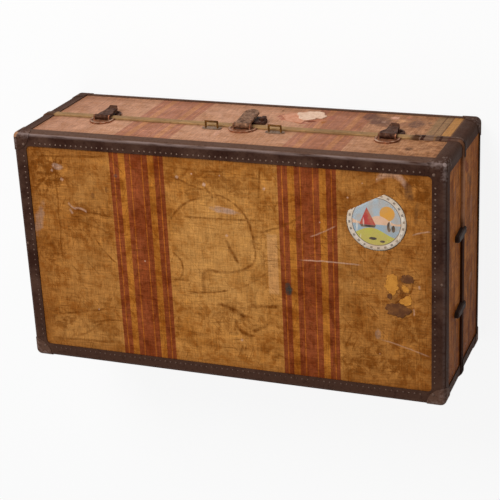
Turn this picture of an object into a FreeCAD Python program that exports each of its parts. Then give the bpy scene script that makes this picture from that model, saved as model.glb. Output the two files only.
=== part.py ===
import FreeCAD, Part
import os

V = FreeCAD.Vector
TINY = 1e-6

# Striped canvas travelling trunk, lying on its base with the lid on top, in millimetres.
# X runs along the trunk, -Y is the lock side, +Y the hinge side, Z is up.
# The origin is the middle of the face that the trunk rests on.

# Case, measured over the bindings
LENGTH = 914.0
WIDTH = 508.0
HEIGHT = 305.0
LID_HEIGHT = 140.0
SEAM_GAP = 0.5

# Wall, from the inside out
LINING = 1.0
BOARD = 9.0
PANEL = 6.0
CANVAS = 0.8
BINDING = 2.2
GLUE = 0.1
CORNER_RADIUS = 8.0
EDGE_RADIUS = 4.5

# Fibre bindings along the edges, and the caps on the corners
BINDING_WIDTH = 28.0
BASE_LEG = 15.0
BINDING_CORNER = 9.0
CAP_REACH = 38.0
CAP = 1.2

# Closing strips round the two rims
STRIP_PROUD = 4.5
STRIP_COVER = 1.5
STRIP_ROUND = 2.5
STRIP_ARRIS = 0.7
BASE_STRIP = 10.0
LID_STRIP = 8.0

# Dust lip on three sides inside the base rim
LIP_THICK = 3.5
LIP_RELIEF = 1.5
LIP_BELOW = 25.0
LIP_ABOVE = 9.0
LIP_STOP = 60.0

# Stop hinges
HINGE_INSET = 157.0
HINGE_WIDTH = 64.0
HINGE_LEAF = 2.0
HINGE_DROP = 42.0
HINGE_CORNER = 8.0
KNUCKLE_RADIUS = 4.6
KNUCKLES = 5
KNUCKLE_GAP = 0.4
HINGE_PIN_RADIUS = 2.0
HINGE_STANDOFF = 0.6
FIN = 2.0
FIN_REACH = 8.0
LID_OPENS = 100.0

# Pins that turn, and the gaps that parts run past each other with
PIN_PLAY = 0.05
PIN_HEAD = 1.0
PIN_HEAD_LIP = 1.0
CLEAR = 0.3
SIDE_PLAY = 0.4

# Plates of the lock and the side catches
PLATE = 1.6
RIM_WIDE = 4.0
RIM_HIGH = 3.6
PLATE_GAP = 1.3

# Side catches
CATCH_INSET = 147.0
CATCH_WIDTH = 50.0
CATCH_SIDE = 10.0
CATCH_UP = 46.0
CATCH_DOWN = 44.0
CATCH_PIVOT_UP = 17.0
CATCH_PIVOT_OUT = 8.0
CATCH_PIN_RADIUS = 2.2
CATCH_EYE = 5.2
CATCH_BAR = 4.2
CATCH_BAR_OUT = 5.6
CATCH_HEAD_WIDTH = 30.0
CATCH_TAIL_WIDTH = 22.0
CATCH_SHOULDER = 4.0
CATCH_NECK = 18.0
CATCH_TAIL = 33.0
CATCH_CURL = 14.0
CATCH_CURL_ANGLE = 55.0
CATCH_LIFT = 2.2
EAR = 2.6
EAR_MARGIN = 2.4
CHEEK = 2.0
CHEEK_PLAY = 0.6
CHEEK_HIGH = 7.4
CHEEK_NEAR = 20.0
CHEEK_FAR = 31.0

# Lock: hasp on the lid, case and thumb slide on the base
LOCK_X = -5.0
LOCK_PLATE_WIDTH = 58.0
LOCK_PLATE_SIDE = 8.0
LOCK_PLATE_UP = 42.0
LOCK_PIVOT_UP = 16.0
LOCK_PIVOT_OUT = 9.0
LOCK_PIN_RADIUS = 2.2
LOCK_EYE = 6.0
LOCK_BAR = 5.0
LOCK_BAR_WIDTH = 32.0
LOCK_BAR_ROUND = 2.0
LOCK_BAR_END = 58.0
LOCK_BAR_OVER_CASE = 0.7
LOCK_LIFT = 7.0
CASE_WIDTH = 52.0
CASE_SHIFT = -8.0
CASE_SIDE = 30.0
CASE_DOWN = 54.0
CASE_HIGH = 8.0
CASE_WALL = 1.5
CASE_ROUND = 2.0
STAPLE_PLACE = 34.0
STAPLE_WIDE = 6.0
STAPLE_TALL = 6.0
STAPLE_REACH = 5.6
STAPLE_PLAY = 1.5
BOLT_WIDE = 2.4
BOLT_THICK = 1.6
BOLT_DEEP = 4.5
BOLT_PLAY = 0.5
SLIDE_PLACE = 27.0
SLIDE_TRAVEL = 6.0
SLIDE_NECK_WIDE = 5.0
SLIDE_NECK_TALL = 5.2
SLIDE_KEEP_WIDE = 8.0
SLIDE_KEEP_TALL = 11.0
KNOB_INNER = 4.0
KNOB_OUTER = 5.0
KNOB_TALL = 20.0
KNOB_HIGH = 5.5
KNOB_ROUND = 2.0
BOLT_SHORT = 3.5
KEYHOLE_RADIUS = 2.0
KEYHOLE_SIDE = -25.0
KEYHOLE_PLACE = 16.5
KEYHOLE_SLOT = 2.2
KEYHOLE_LONG = 4.5

# Loops that once held a carrying handle
LOOP_X = -9.0
LOOP_SPACING = 137.0
LOOP_UP = 22.0
LOOP_WIDE = 30.0
LOOP_HIGH = 17.0
LOOP_WIRE = 2.1
LOOP_PLATE_LONG = 42.0
LOOP_PLATE_WIDE = 16.0

# Guide lugs on the ends of the lid
GUIDE_FRONT = -68.0
GUIDE_BACK = 94.0
GUIDE_FOOT_WIDE = 20.0
GUIDE_NOSE_WIDE = 14.0
GUIDE_UP = 50.0
GUIDE_DOWN = 9.0
GUIDE_HIGH = 9.0
GUIDE_BEVEL = 2.4

# Plates that clamp the base's closing strip at two corners
CLAMP_LONG = 97.0
CLAMP_RETURN = 34.0
CLAMP_THICK = 1.2

# Layers as distances from the face of the boards
CANVAS_IN = GLUE
CANVAS_OUT = CANVAS_IN + CANVAS
BIND_IN = CANVAS_OUT + GLUE
BIND_OUT = BIND_IN + BINDING
CAP_IN = BIND_OUT + GLUE
CAP_OUT = CAP_IN + CAP
STRIP_IN = CANVAS_OUT + GLUE
STRIP_OUT = STRIP_IN + STRIP_PROUD

# Derived places
BOX_LENGTH = LENGTH - 2 * BIND_OUT
BOX_WIDTH = WIDTH - 2 * BIND_OUT
SEAM = HEIGHT - LID_HEIGHT
BASE_DEEP = SEAM - SEAM_GAP / 2
LID_DEEP = LID_HEIGHT - SEAM_GAP / 2
FLOOR = BIND_OUT + PANEL
ROOM_LENGTH = BOX_LENGTH - 2 * (BOARD + GLUE + LINING)
ROOM_WIDTH = BOX_WIDTH - 2 * (BOARD + GLUE + LINING)
SEAT_X = BOX_LENGTH / 2 + CANVAS_OUT + GLUE
SEAT_Y = BOX_WIDTH / 2 + CANVAS_OUT + GLUE
HINGE_Y = BOX_WIDTH / 2 + STRIP_OUT + HINGE_STANDOFF
HINGE_PLACES = (-(LENGTH / 2 - HINGE_INSET), 0.0, LENGTH / 2 - HINGE_INSET)
CATCH_PLACE = LENGTH / 2 - CATCH_INSET
PLATE_FLAT_UP = LID_STRIP + PLATE_GAP
PLATE_FLAT_DOWN = BASE_STRIP + PLATE_GAP
LOCK_BAR_OUT = CASE_HIGH + LOCK_BAR_OVER_CASE


def block(x0, x1, y0, y1, z0, z1):
    """Box between two corners."""
    return Part.makeBox(x1 - x0, y1 - y0, z1 - z0, V(x0, y0, z0))


def upright_edges(solid):
    """Straight edges that run along Z."""
    def is_upright(edge):
        a, b = edge.Vertexes[0], edge.Vertexes[-1]
        return abs(a.X - b.X) < TINY and abs(a.Y - b.Y) < TINY and abs(a.Z - b.Z) > TINY
    return [edge for edge in solid.Edges if is_upright(edge)]


def level_edges(solid, z):
    """Edges that lie wholly at the height z."""
    return [edge for edge in solid.Edges if all(abs(v.Z - z) < TINY for v in edge.Vertexes)]


def rounded_block(length, width, z0, z1, radius):
    """Upright prism of a rectangle with rounded corners, centred on the Z axis."""
    solid = block(-length / 2, length / 2, -width / 2, width / 2, z0, z1)
    return solid.makeFillet(radius, upright_edges(solid))


def case_form(offset, rim):
    """Outside of the boards of one half, grown by offset: rounded corners and panel edges, level at the rim."""
    bottom = BIND_OUT - offset
    solid = rounded_block(BOX_LENGTH + 2 * offset, BOX_WIDTH + 2 * offset, bottom, rim, CORNER_RADIUS + offset)
    return solid.makeFillet(EDGE_RADIUS + offset, level_edges(solid, bottom))


def turn_over(shape):
    """Mirror a half that was built like the base to where the lid is."""
    return shape.mirror(V(0, 0, HEIGHT / 2), V(0, 0, 1))


def boards(deep):
    """Panel and four side boards of one half, butted at the corners."""
    rim = deep - STRIP_COVER
    form = case_form(0, rim)
    far_x = BOX_LENGTH / 2
    far_y = BOX_WIDTH / 2
    near_x = far_x - BOARD
    near_y = far_y - BOARD
    return {
        "panel": form.common(block(-far_x, far_x, -far_y, far_y, 0, FLOOR)),
        "front_board": form.common(block(-far_x, far_x, -far_y, -near_y, FLOOR, rim)),
        "back_board": form.common(block(-far_x, far_x, near_y, far_y, FLOOR, rim)),
        "left_board": form.common(block(-far_x, -near_x, -near_y, near_y, FLOOR, rim)),
        "right_board": form.common(block(near_x, far_x, -near_y, near_y, FLOOR, rim)),
    }


def canvas(deep):
    """Canvas glued over the outside of one half."""
    rim = deep - STRIP_COVER
    return case_form(CANVAS_OUT, rim).cut(case_form(CANVAS_IN, rim + STRIP_COVER))


def lining(deep):
    """Lining pasted over the inside of one half."""
    rim = deep - STRIP_COVER
    around = block(-ROOM_LENGTH / 2 - LINING, ROOM_LENGTH / 2 + LINING,
                   -ROOM_WIDTH / 2 - LINING, ROOM_WIDTH / 2 + LINING, FLOOR + GLUE, rim)
    room = block(-ROOM_LENGTH / 2, ROOM_LENGTH / 2, -ROOM_WIDTH / 2, ROOM_WIDTH / 2,
                 FLOOR + GLUE + LINING, rim + STRIP_COVER)
    return around.cut(room)


def at_corners(shape):
    """The shape made for the +X +Y corner, mirrored to all four."""
    pair = [shape, shape.mirror(V(0, 0, 0), V(1, 0, 0))]
    return pair + [half.mirror(V(0, 0, 0), V(0, 1, 0)) for half in pair]


def between_bindings(leg):
    """Spaces that the bindings leave open on the panel and on the walls, where their leg is as wide as given."""
    reach_x = LENGTH / 2 - BINDING_WIDTH
    reach_y = WIDTH / 2 - BINDING_WIDTH
    return [
        rounded_block(2 * reach_x, 2 * reach_y, -BIND_OUT, leg, BINDING_CORNER),
        block(-reach_x, reach_x, -WIDTH, WIDTH, leg, HEIGHT),
        block(-LENGTH, LENGTH, -reach_y, reach_y, leg, HEIGHT),
    ]


def bindings(deep, strip, leg):
    """Fibre along the panel edges, and the upright lengths that run on to the closing strip."""
    top = deep - strip
    layer = case_form(BIND_OUT, top).cut(case_form(BIND_IN, top + STRIP_COVER))
    strips = layer.cut(between_bindings(leg))
    below = block(-LENGTH, LENGTH, -WIDTH, WIDTH, -BIND_OUT, leg)
    return strips.common(below), strips.cut(below)


def corner_caps(leg, flush):
    """Pressed caps over the bindings at the corners, trimmed level with the edge binding under the base."""
    ball = Part.makeSphere(CAP_REACH, V(LENGTH / 2, WIDTH / 2, 0))
    layer = case_form(CAP_OUT, CAP_REACH).cut(case_form(CAP_IN, CAP_REACH + CAP))
    cap = layer.common(ball).cut(between_bindings(leg))
    if flush:
        cap = cap.common(block(0, LENGTH, 0, WIDTH, 0, CAP_REACH))
    return at_corners(cap)


def closing_strip(deep, strip):
    """Rim moulding: a flange over the edge of the boards and a rounded bead outside, cut back at the hinges."""
    outside = rounded_block(BOX_LENGTH + 2 * STRIP_OUT, BOX_WIDTH + 2 * STRIP_OUT,
                            deep - strip, deep, CORNER_RADIUS + STRIP_OUT)
    outside = outside.makeFillet(STRIP_ROUND, level_edges(outside, deep - strip))
    outside = outside.makeChamfer(STRIP_ARRIS, level_edges(outside, deep))
    under = rounded_block(BOX_LENGTH + 2 * STRIP_IN, BOX_WIDTH + 2 * STRIP_IN,
                          deep - 2 * strip, deep - STRIP_COVER, CORNER_RADIUS + STRIP_IN)
    room = block(-ROOM_LENGTH / 2, ROOM_LENGTH / 2, -ROOM_WIDTH / 2, ROOM_WIDTH / 2, 0, HEIGHT)
    half = HINGE_WIDTH / 2 + PIN_HEAD + 2 * SIDE_PLAY
    notches = [block(x - half, x + half, SEAT_Y, WIDTH, 0, HEIGHT) for x in HINGE_PLACES]
    return outside.cut([under, room] + notches)


def dust_lip():
    """Strips inside the front and ends of the base, standing into the lid with their upper half set in."""
    def band(outer, inner, z0, z1):
        back = ROOM_WIDTH / 2 - LIP_STOP
        x, y = ROOM_LENGTH / 2, ROOM_WIDTH / 2
        return block(-x + outer, x - outer, -y + outer, back, z0, z1).cut(
            block(-x + inner, x - inner, -y + inner, back + LIP_STOP, z0, z1))
    lower = band(GLUE, GLUE + LIP_THICK, SEAM - LIP_BELOW, SEAM)
    upper = band(GLUE + LIP_RELIEF, GLUE + LIP_THICK, SEAM - LIP_RELIEF, SEAM + LIP_ABOVE)
    relief = band(0, GLUE + LIP_RELIEF, SEAM - LIP_RELIEF, SEAM)
    lip = lower.cut(relief).fuse(upper).removeSplitter()
    front = block(-LENGTH, LENGTH, -WIDTH, GLUE + LIP_THICK - ROOM_WIDTH / 2, 0, HEIGHT)
    return [lip.common(front)] + lip.cut(front).Solids


def knuckle_spans(first):
    """X ranges of every other knuckle, counted from the hinge's middle."""
    pitch = HINGE_WIDTH / KNUCKLES
    starts = [-HINGE_WIDTH / 2 + i * pitch for i in range(first, KNUCKLES, 2)]
    return [(x + KNUCKLE_GAP / 2, x + pitch - KNUCKLE_GAP / 2) for x in starts]


def along_hinge(radius, x0, x1):
    """Cylinder on the hinge axis."""
    return Part.makeCylinder(radius, x1 - x0, V(x0, HINGE_Y, SEAM), V(1, 0, 0))


def hinge_leaf(on_lid):
    """Leaf with its knuckles and a stop fin that meets the other leaf's fin when the lid is open."""
    own = knuckle_spans(1 if on_lid else 0)
    other = knuckle_spans(0 if on_lid else 1)
    room = [along_hinge(KNUCKLE_RADIUS + CLEAR, a - KNUCKLE_GAP, b + KNUCKLE_GAP) for a, b in other]
    half = HINGE_WIDTH / 2
    plate = block(-half, half, SEAT_Y, SEAT_Y + HINGE_LEAF, SEAM - HINGE_DROP, SEAM - KNUCKLE_GAP)
    ends = [e for e in plate.Edges if all(abs(v.Z - SEAM + HINGE_DROP) < TINY for v in e.Vertexes)
            and abs(e.Vertexes[0].Y - e.Vertexes[-1].Y) > TINY]
    plate = plate.makeFillet(HINGE_CORNER, ends)
    if on_lid:
        plate = plate.mirror(V(0, 0, SEAM), V(0, 0, 1))
        fin = block(-half, half, 0, FIN_REACH, -FIN / 2, FIN / 2)
        turn = 90.0
    else:
        fin = block(-half, half, 0, FIN_REACH, -1.5 * FIN - CLEAR, -FIN / 2 - CLEAR)
        turn = 90.0 - LID_OPENS
    fin.rotate(V(0, 0, 0), V(1, 0, 0), turn)
    fin.translate(V(0, HINGE_Y, SEAM))
    barrel = [along_hinge(KNUCKLE_RADIUS, a, b) for a, b in own]
    leaf = plate.fuse(fin).cut(room).fuse(barrel)
    return leaf.cut(along_hinge(HINGE_PIN_RADIUS + PIN_PLAY, -HINGE_WIDTH, HINGE_WIDTH)).removeSplitter()


def headed_pin(radius, half_length):
    """Pin along X with a flat head on each end, centred on the origin."""
    shank = Part.makeCylinder(radius, 2 * half_length, V(-half_length, 0, 0), V(1, 0, 0))
    heads = [Part.makeCylinder(radius + PIN_HEAD_LIP, PIN_HEAD, V(x, 0, 0), V(1, 0, 0))
             for x in (-half_length - PIN_HEAD, half_length)]
    return shank.fuse(heads).removeSplitter()


def hinge_pin():
    """Pin through all knuckles of one hinge."""
    pin = headed_pin(HINGE_PIN_RADIUS, HINGE_WIDTH / 2 + PIN_PLAY)
    pin.translate(V(0, HINGE_Y, SEAM))
    return pin


def at_hinges(shape):
    """A copy of the shape at each hinge."""
    return [shape.translated(V(x, 0, 0)) for x in HINGE_PLACES]


# Fittings on the sides are drawn flat: x along the wall, y up from the seam, z out of the canvas


def on_front(shape, x):
    """Stand a flat drawn fitting on the lock side, x along the trunk."""
    stand = FreeCAD.Placement(V(x, -SEAT_Y, SEAM), FreeCAD.Rotation(V(1, 0, 0), 90))
    return shape.transformed(stand.toMatrix())


def on_end(shape, side, y):
    """Stand a flat drawn fitting on an end wall, side -1 for -X and +1 for +X."""
    upright = FreeCAD.Rotation(V(1, 0, 0), 90)
    turned = FreeCAD.Rotation(V(0, 0, 1), 90 * side).multiply(upright)
    return shape.transformed(FreeCAD.Placement(V(side * SEAT_X, y, SEAM), turned).toMatrix())


def prism(points, rounds, z0, z1):
    """Outline of straight runs extruded from z0 to z1; rounds maps a point's index to an arc's middle after it."""
    edges = []
    for i, start in enumerate(points):
        end = points[(i + 1) % len(points)]
        a, b = V(start[0], start[1], z0), V(end[0], end[1], z0)
        if i in rounds:
            edges.append(Part.Arc(a, V(rounds[i][0], rounds[i][1], z0), b).toShape())
        else:
            edges.append(Part.LineSegment(a, b).toShape())
    return Part.Face(Part.Wire(edges)).extrude(V(0, 0, z1 - z0))


def tongue(width, flat, side, far, z0, z1):
    """Plate with a straight edge at y = flat and an arched end at y = far, after straight sides of length side."""
    way = 1 if far > flat else -1
    half = width / 2
    shoulder = flat + way * side
    points = [(-half, flat), (-half, shoulder), (half, shoulder), (half, flat)]
    return prism(points, {1: (0, far)}, z0, z1)


def dish(width, flat, side, far):
    """Tongue shaped plate with a raised rim round its arched end, open at its straight edge."""
    way = 1 if far > flat else -1
    whole = tongue(width, flat, side, far, 0, RIM_HIGH)
    well = tongue(width - 2 * RIM_WIDE, flat - way * RIM_WIDE, side + RIM_WIDE, far - way * RIM_WIDE,
                  PLATE, 2 * RIM_HIGH)
    return whole.cut(well)


def across(radius, x0, x1, up, out):
    """Cylinder along x on a pivot at the height up and the distance out."""
    return Part.makeCylinder(radius, x1 - x0, V(x0, up, out), V(1, 0, 0))


def hasp_plate(width, side, far, hasp_width, pivot_up, pivot_out, pin_radius):
    """Lid plate with two ears that carry a hasp's pin."""
    plate = dish(width, PLATE_FLAT_UP, side, far)
    ear_radius = pin_radius + EAR_MARGIN
    inner = hasp_width / 2 + SIDE_PLAY
    outer = inner + EAR
    for x0, x1 in ((inner, outer), (-outer, -inner)):
        stem = block(x0, x1, pivot_up - ear_radius, pivot_up + ear_radius, 0, pivot_out)
        plate = plate.fuse([stem, across(ear_radius, x0, x1, pivot_up, pivot_out)])
    return plate.cut(across(pin_radius + PIN_PLAY, -width, width, pivot_up, pivot_out)).removeSplitter()


def hasp_pin(hasp_width, pivot_up, pivot_out, pin_radius):
    """Pin through a hasp and the two ears beside it."""
    pin = headed_pin(pin_radius, hasp_width / 2 + SIDE_PLAY + EAR + PIN_PLAY)
    return pin.translated(V(0, pivot_up, pivot_out))


def catch_keeper():
    """Base plate with two springy cheeks that grip the catch's tail."""
    plate = dish(CATCH_WIDTH, -PLATE_FLAT_DOWN, CATCH_SIDE, -CATCH_DOWN)
    inner = CATCH_TAIL_WIDTH / 2 + CHEEK_PLAY
    cheeks = [block(x, x + CHEEK, -CHEEK_FAR, -CHEEK_NEAR, 0, CHEEK_HIGH) for x in (inner, -inner - CHEEK)]
    return plate.fuse(cheeks).removeSplitter()


def lifted(shape, angle, pivot_up, pivot_out):
    """Swing a closed hasp outwards about its pin to where it rests."""
    turned = shape.copy()
    turned.rotate(V(0, pivot_up, pivot_out), V(1, 0, 0), -angle)
    return turned


def side_profile(points, rounds, width):
    """Outline drawn as (up, out) points, extruded to the width along x about the middle."""
    solid = prism(points, rounds, -width / 2, width / 2)
    cycle_axes = FreeCAD.Rotation(V(1, 1, 1), 120)
    return solid.transformed(FreeCAD.Placement(V(0, 0, 0), cycle_axes).toMatrix())


def catch_hasp():
    """Side catch: an eye on the pin, a bar across the seam, a narrower tail and a curled thumb tip."""
    low, high = CATCH_BAR_OUT, CATCH_BAR_OUT + CATCH_BAR
    curl = FreeCAD.Rotation(V(0, 0, 1), -CATCH_CURL_ANGLE)
    half_curl = FreeCAD.Rotation(V(0, 0, 1), -CATCH_CURL_ANGLE / 2)
    centre = V(-CATCH_TAIL, low + CATCH_CURL, 0)
    outer, inner = V(0, -CATCH_CURL, 0), V(0, CATCH_BAR - CATCH_CURL, 0)
    tip, tip_middle = centre + curl.multVec(outer), centre + half_curl.multVec(outer)
    lip, lip_middle = centre + curl.multVec(inner), centre + half_curl.multVec(inner)
    points = [(CATCH_PIVOT_UP, low), (-CATCH_TAIL, low), (tip.x, tip.y), (lip.x, lip.y),
              (-CATCH_TAIL, high), (CATCH_PIVOT_UP, high)]
    rounds = {1: (tip_middle.x, tip_middle.y), 3: (lip_middle.x, lip_middle.y)}
    head, tail = CATCH_HEAD_WIDTH / 2, CATCH_TAIL_WIDTH / 2
    bar = side_profile(points, rounds, CATCH_HEAD_WIDTH)
    eye = across(CATCH_EYE, -head, head, CATCH_PIVOT_UP, CATCH_PIVOT_OUT)
    top = CATCH_PIVOT_UP + CATCH_EYE
    end = tip.x + tail
    plan = [(head, top), (head, -CATCH_SHOULDER), (tail, -CATCH_NECK), (tail, end),
            (-tail, end), (-tail, -CATCH_NECK), (-head, -CATCH_SHOULDER), (-head, top)]
    outline = prism(plan, {3: (0, tip.x)}, 0, CATCH_CURL + high)
    hole = across(CATCH_PIN_RADIUS + PIN_PLAY, -CATCH_WIDTH, CATCH_WIDTH, CATCH_PIVOT_UP, CATCH_PIVOT_OUT)
    hasp = bar.fuse(eye).common(outline).cut(hole).removeSplitter()
    return lifted(hasp, CATCH_LIFT, CATCH_PIVOT_UP, CATCH_PIVOT_OUT)


def lock_hasp():
    """Thick rounded bar on the lid that closes over the lock case."""
    half = LOCK_BAR_WIDTH / 2
    high = LOCK_BAR_OUT + LOCK_BAR
    plan = [(half, LOCK_PIVOT_UP), (half, half - LOCK_BAR_END), (-half, half - LOCK_BAR_END), (-half, LOCK_PIVOT_UP)]
    bar = prism(plan, {1: (0, -LOCK_BAR_END)}, LOCK_BAR_OUT, high)
    bar = bar.makeFillet(LOCK_BAR_ROUND, level_edges(bar, high))
    eye = across(LOCK_EYE, -half, half, LOCK_PIVOT_UP, LOCK_PIVOT_OUT)
    hole = across(LOCK_PIN_RADIUS + PIN_PLAY, -CASE_WIDTH, CASE_WIDTH, LOCK_PIVOT_UP, LOCK_PIVOT_OUT)
    hasp = bar.fuse(eye).cut(hole).removeSplitter()
    return lifted(hasp, LOCK_LIFT, LOCK_PIVOT_UP, LOCK_PIVOT_OUT)


def lock_staple():
    """Staple under the hasp, with the hole that the bolt enters when the lock is closed."""
    wide, tall = STAPLE_WIDE / 2, STAPLE_TALL / 2
    post = block(-wide, wide, -STAPLE_PLACE - tall, -STAPLE_PLACE + tall,
                 LOCK_BAR_OUT - STAPLE_REACH, LOCK_BAR_OUT)
    reach = BOLT_WIDE / 2 + BOLT_PLAY
    hole = block(-STAPLE_WIDE, STAPLE_WIDE, -STAPLE_PLACE - reach, -STAPLE_PLACE + reach,
                 BOLT_DEEP - BOLT_PLAY, BOLT_DEEP + BOLT_THICK + BOLT_PLAY)
    return lifted(post.cut(hole), LOCK_LIFT, LOCK_PIVOT_UP, LOCK_PIVOT_OUT)


def lock_case():
    """Hollow lock case with openings for the staple, the thumb slide and the key."""
    shell = tongue(CASE_WIDTH, -PLATE_FLAT_DOWN, CASE_SIDE, -CASE_DOWN, 0, CASE_HIGH)
    shell = shell.makeFillet(CASE_ROUND, level_edges(shell, CASE_HIGH))
    hollow = tongue(CASE_WIDTH - 2 * CASE_WALL, -PLATE_FLAT_DOWN - CASE_WALL, CASE_SIDE - CASE_WALL,
                    -CASE_DOWN + CASE_WALL, -CASE_WALL, CASE_HIGH - CASE_WALL)
    beside_hasp = V(CASE_SHIFT, 0, 0)
    wide = STAPLE_WIDE / 2 + STAPLE_PLAY
    tall = STAPLE_TALL / 2 + STAPLE_PLAY
    mouth = block(-wide, wide, -STAPLE_PLACE - tall, -STAPLE_PLACE + tall, 0, 2 * CASE_HIGH)
    neck = SLIDE_NECK_WIDE / 2 + SIDE_PLAY
    slot = block(-SLIDE_PLACE - neck, -SLIDE_PLACE + neck + SLIDE_TRAVEL,
                 -STAPLE_PLACE - SLIDE_NECK_TALL / 2 - SIDE_PLAY,
                 -STAPLE_PLACE + SLIDE_NECK_TALL / 2 + SIDE_PLAY, 0, 2 * CASE_HIGH)
    keyhole = Part.makeCylinder(KEYHOLE_RADIUS, 2 * CASE_HIGH, V(KEYHOLE_SIDE, -KEYHOLE_PLACE, 0))
    keyway = block(KEYHOLE_SIDE - KEYHOLE_SLOT / 2, KEYHOLE_SIDE + KEYHOLE_SLOT / 2,
                   -KEYHOLE_PLACE - KEYHOLE_LONG, -KEYHOLE_PLACE, 0, 2 * CASE_HIGH)
    shell, hollow = shell.translated(beside_hasp), hollow.translated(beside_hasp)
    return shell.cut([hollow, mouth, slot, keyhole, keyway])


def lock_slide():
    """Thumb slide: a knob outside, a neck through the case and a keep plate with the bolt inside."""
    middle, place = -SLIDE_PLACE, -STAPLE_PLACE
    knob = block(middle - KNOB_OUTER, middle + KNOB_INNER, place - KNOB_TALL / 2, place + KNOB_TALL / 2,
                 CASE_HIGH + CLEAR, CASE_HIGH + KNOB_HIGH)
    knob = knob.makeFillet(KNOB_ROUND, level_edges(knob, CASE_HIGH + KNOB_HIGH) + upright_edges(knob))
    neck = block(middle - SLIDE_NECK_WIDE / 2, middle + SLIDE_NECK_WIDE / 2,
                 place - SLIDE_NECK_TALL / 2, place + SLIDE_NECK_TALL / 2, BOLT_DEEP, CASE_HIGH + 2 * CLEAR)
    keep_end = middle + SLIDE_KEEP_WIDE / 2
    keep = block(middle - SLIDE_KEEP_WIDE / 2, keep_end, place - SLIDE_KEEP_TALL / 2,
                 place + SLIDE_KEEP_TALL / 2, BOLT_DEEP, BOLT_DEEP + BOLT_THICK)
    bolt = block(keep_end, -STAPLE_WIDE / 2 - BOLT_SHORT, place - BOLT_WIDE / 2, place + BOLT_WIDE / 2,
                 BOLT_DEEP, BOLT_DEEP + BOLT_THICK)
    return knob.fuse([neck, keep, bolt]).removeSplitter()


def handle_loop():
    """Standing wire loop with square upper corners, its feet on the plate."""
    half, top = LOOP_WIDE / 2 - LOOP_WIRE, LOOP_HIGH - LOOP_WIRE
    path = Part.makePolygon([V(-half, 0, PLATE), V(-half, 0, top), V(half, 0, top), V(half, 0, PLATE)])
    section = Part.Wire([Part.makeCircle(LOOP_WIRE, V(-half, 0, PLATE), V(0, 0, 1))])
    mitred = 1
    return path.makePipeShell([section], True, False, mitred).translated(V(0, LOOP_UP, 0))


def loop_plate():
    """Plate with round ends under a handle loop."""
    straight = LOOP_PLATE_LONG / 2 - LOOP_PLATE_WIDE / 2
    half = LOOP_PLATE_WIDE / 2
    points = [(-straight, LOOP_UP - half), (straight, LOOP_UP - half),
              (straight, LOOP_UP + half), (-straight, LOOP_UP + half)]
    rounds = {1: (straight + half, LOOP_UP), 3: (-straight - half, LOOP_UP)}
    return prism(points, rounds, 0, PLATE)


def guide_lug():
    """Lug on a lid end: a tapered foot on the canvas and a nose that hangs past the seam outside the base strip."""
    foot, nose = GUIDE_FOOT_WIDE / 2, GUIDE_NOSE_WIDE / 2
    start = PLATE_FLAT_UP
    plan = [(-foot, start), (foot, start), (nose, GUIDE_UP), (-nose, GUIDE_UP)]
    body = prism(plan, {2: (0, GUIDE_UP + nose)}, 0, GUIDE_HIGH)
    hook = block(-nose, nose, -GUIDE_DOWN, start, STRIP_PROUD + 2 * CLEAR, GUIDE_HIGH)
    lug = body.fuse(hook).removeSplitter()
    return lug.makeChamfer(GUIDE_BEVEL, level_edges(lug, GUIDE_HIGH))


def corner_clamp():
    """Steel plate round the base's closing strip at the lock side corner at -X."""
    low, top = BASE_DEEP - BASE_STRIP + STRIP_ARRIS, BASE_DEEP - STRIP_ARRIS
    x0, y0 = -LENGTH / 2, -WIDTH / 2
    inner = STRIP_OUT + GLUE
    outer = inner + CLAMP_THICK
    shell = rounded_block(BOX_LENGTH + 2 * outer, BOX_WIDTH + 2 * outer, low, top, CORNER_RADIUS + outer)
    core = rounded_block(BOX_LENGTH + 2 * inner, BOX_WIDTH + 2 * inner, low, top, CORNER_RADIUS + inner)
    return shell.cut(core).common(block(x0 - WIDTH, x0 + CLAMP_LONG, y0 - WIDTH, y0 + CLAMP_RETURN, low, top))


def fittings():
    """Everything that is screwed or riveted to the two halves, by node."""
    catch = (CATCH_HEAD_WIDTH, CATCH_PIVOT_UP, CATCH_PIVOT_OUT, CATCH_PIN_RADIUS)
    lock = (LOCK_BAR_WIDTH, LOCK_PIVOT_UP, LOCK_PIVOT_OUT, LOCK_PIN_RADIUS)
    nodes = {
        "lock_hasp_plate": [on_front(hasp_plate(LOCK_PLATE_WIDTH, LOCK_PLATE_SIDE, LOCK_PLATE_UP, *lock), LOCK_X)],
        "lock_hasp_pin": [on_front(hasp_pin(*lock), LOCK_X)],
        "lock_hasp": [on_front(lock_hasp(), LOCK_X)],
        "lock_staple": [on_front(lock_staple(), LOCK_X)],
        "lock_case": [on_front(lock_case(), LOCK_X)],
        "lock_slide": [on_front(lock_slide(), LOCK_X)],
    }
    for side, x in (("left", -CATCH_PLACE), ("right", CATCH_PLACE)):
        plate = hasp_plate(CATCH_WIDTH, CATCH_SIDE, CATCH_UP, *catch)
        nodes[side + "_catch_plate"] = [on_front(plate, x)]
        nodes[side + "_catch_pin"] = [on_front(hasp_pin(*catch), x)]
        nodes[side + "_catch_hasp"] = [on_front(catch_hasp(), x)]
        nodes[side + "_catch_keeper"] = [on_front(catch_keeper(), x)]
    loops = (LOOP_X - LOOP_SPACING / 2, LOOP_X + LOOP_SPACING / 2)
    nodes["handle_loops"] = [on_front(handle_loop(), x) for x in loops]
    nodes["handle_loop_plates"] = [on_front(loop_plate(), x) for x in loops]
    nodes["end_guides"] = [on_end(guide_lug(), side, y) for side in (-1, 1) for y in (GUIDE_FRONT, GUIDE_BACK)]
    nodes["hinge_base_leaves"] = at_hinges(hinge_leaf(False))
    nodes["hinge_lid_leaves"] = at_hinges(hinge_leaf(True))
    nodes["hinge_pins"] = at_hinges(hinge_pin())
    clamp = corner_clamp()
    nodes["corner_clamps"] = [clamp, clamp.mirror(V(0, 0, 0), V(0, 1, 0))]
    return nodes


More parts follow.
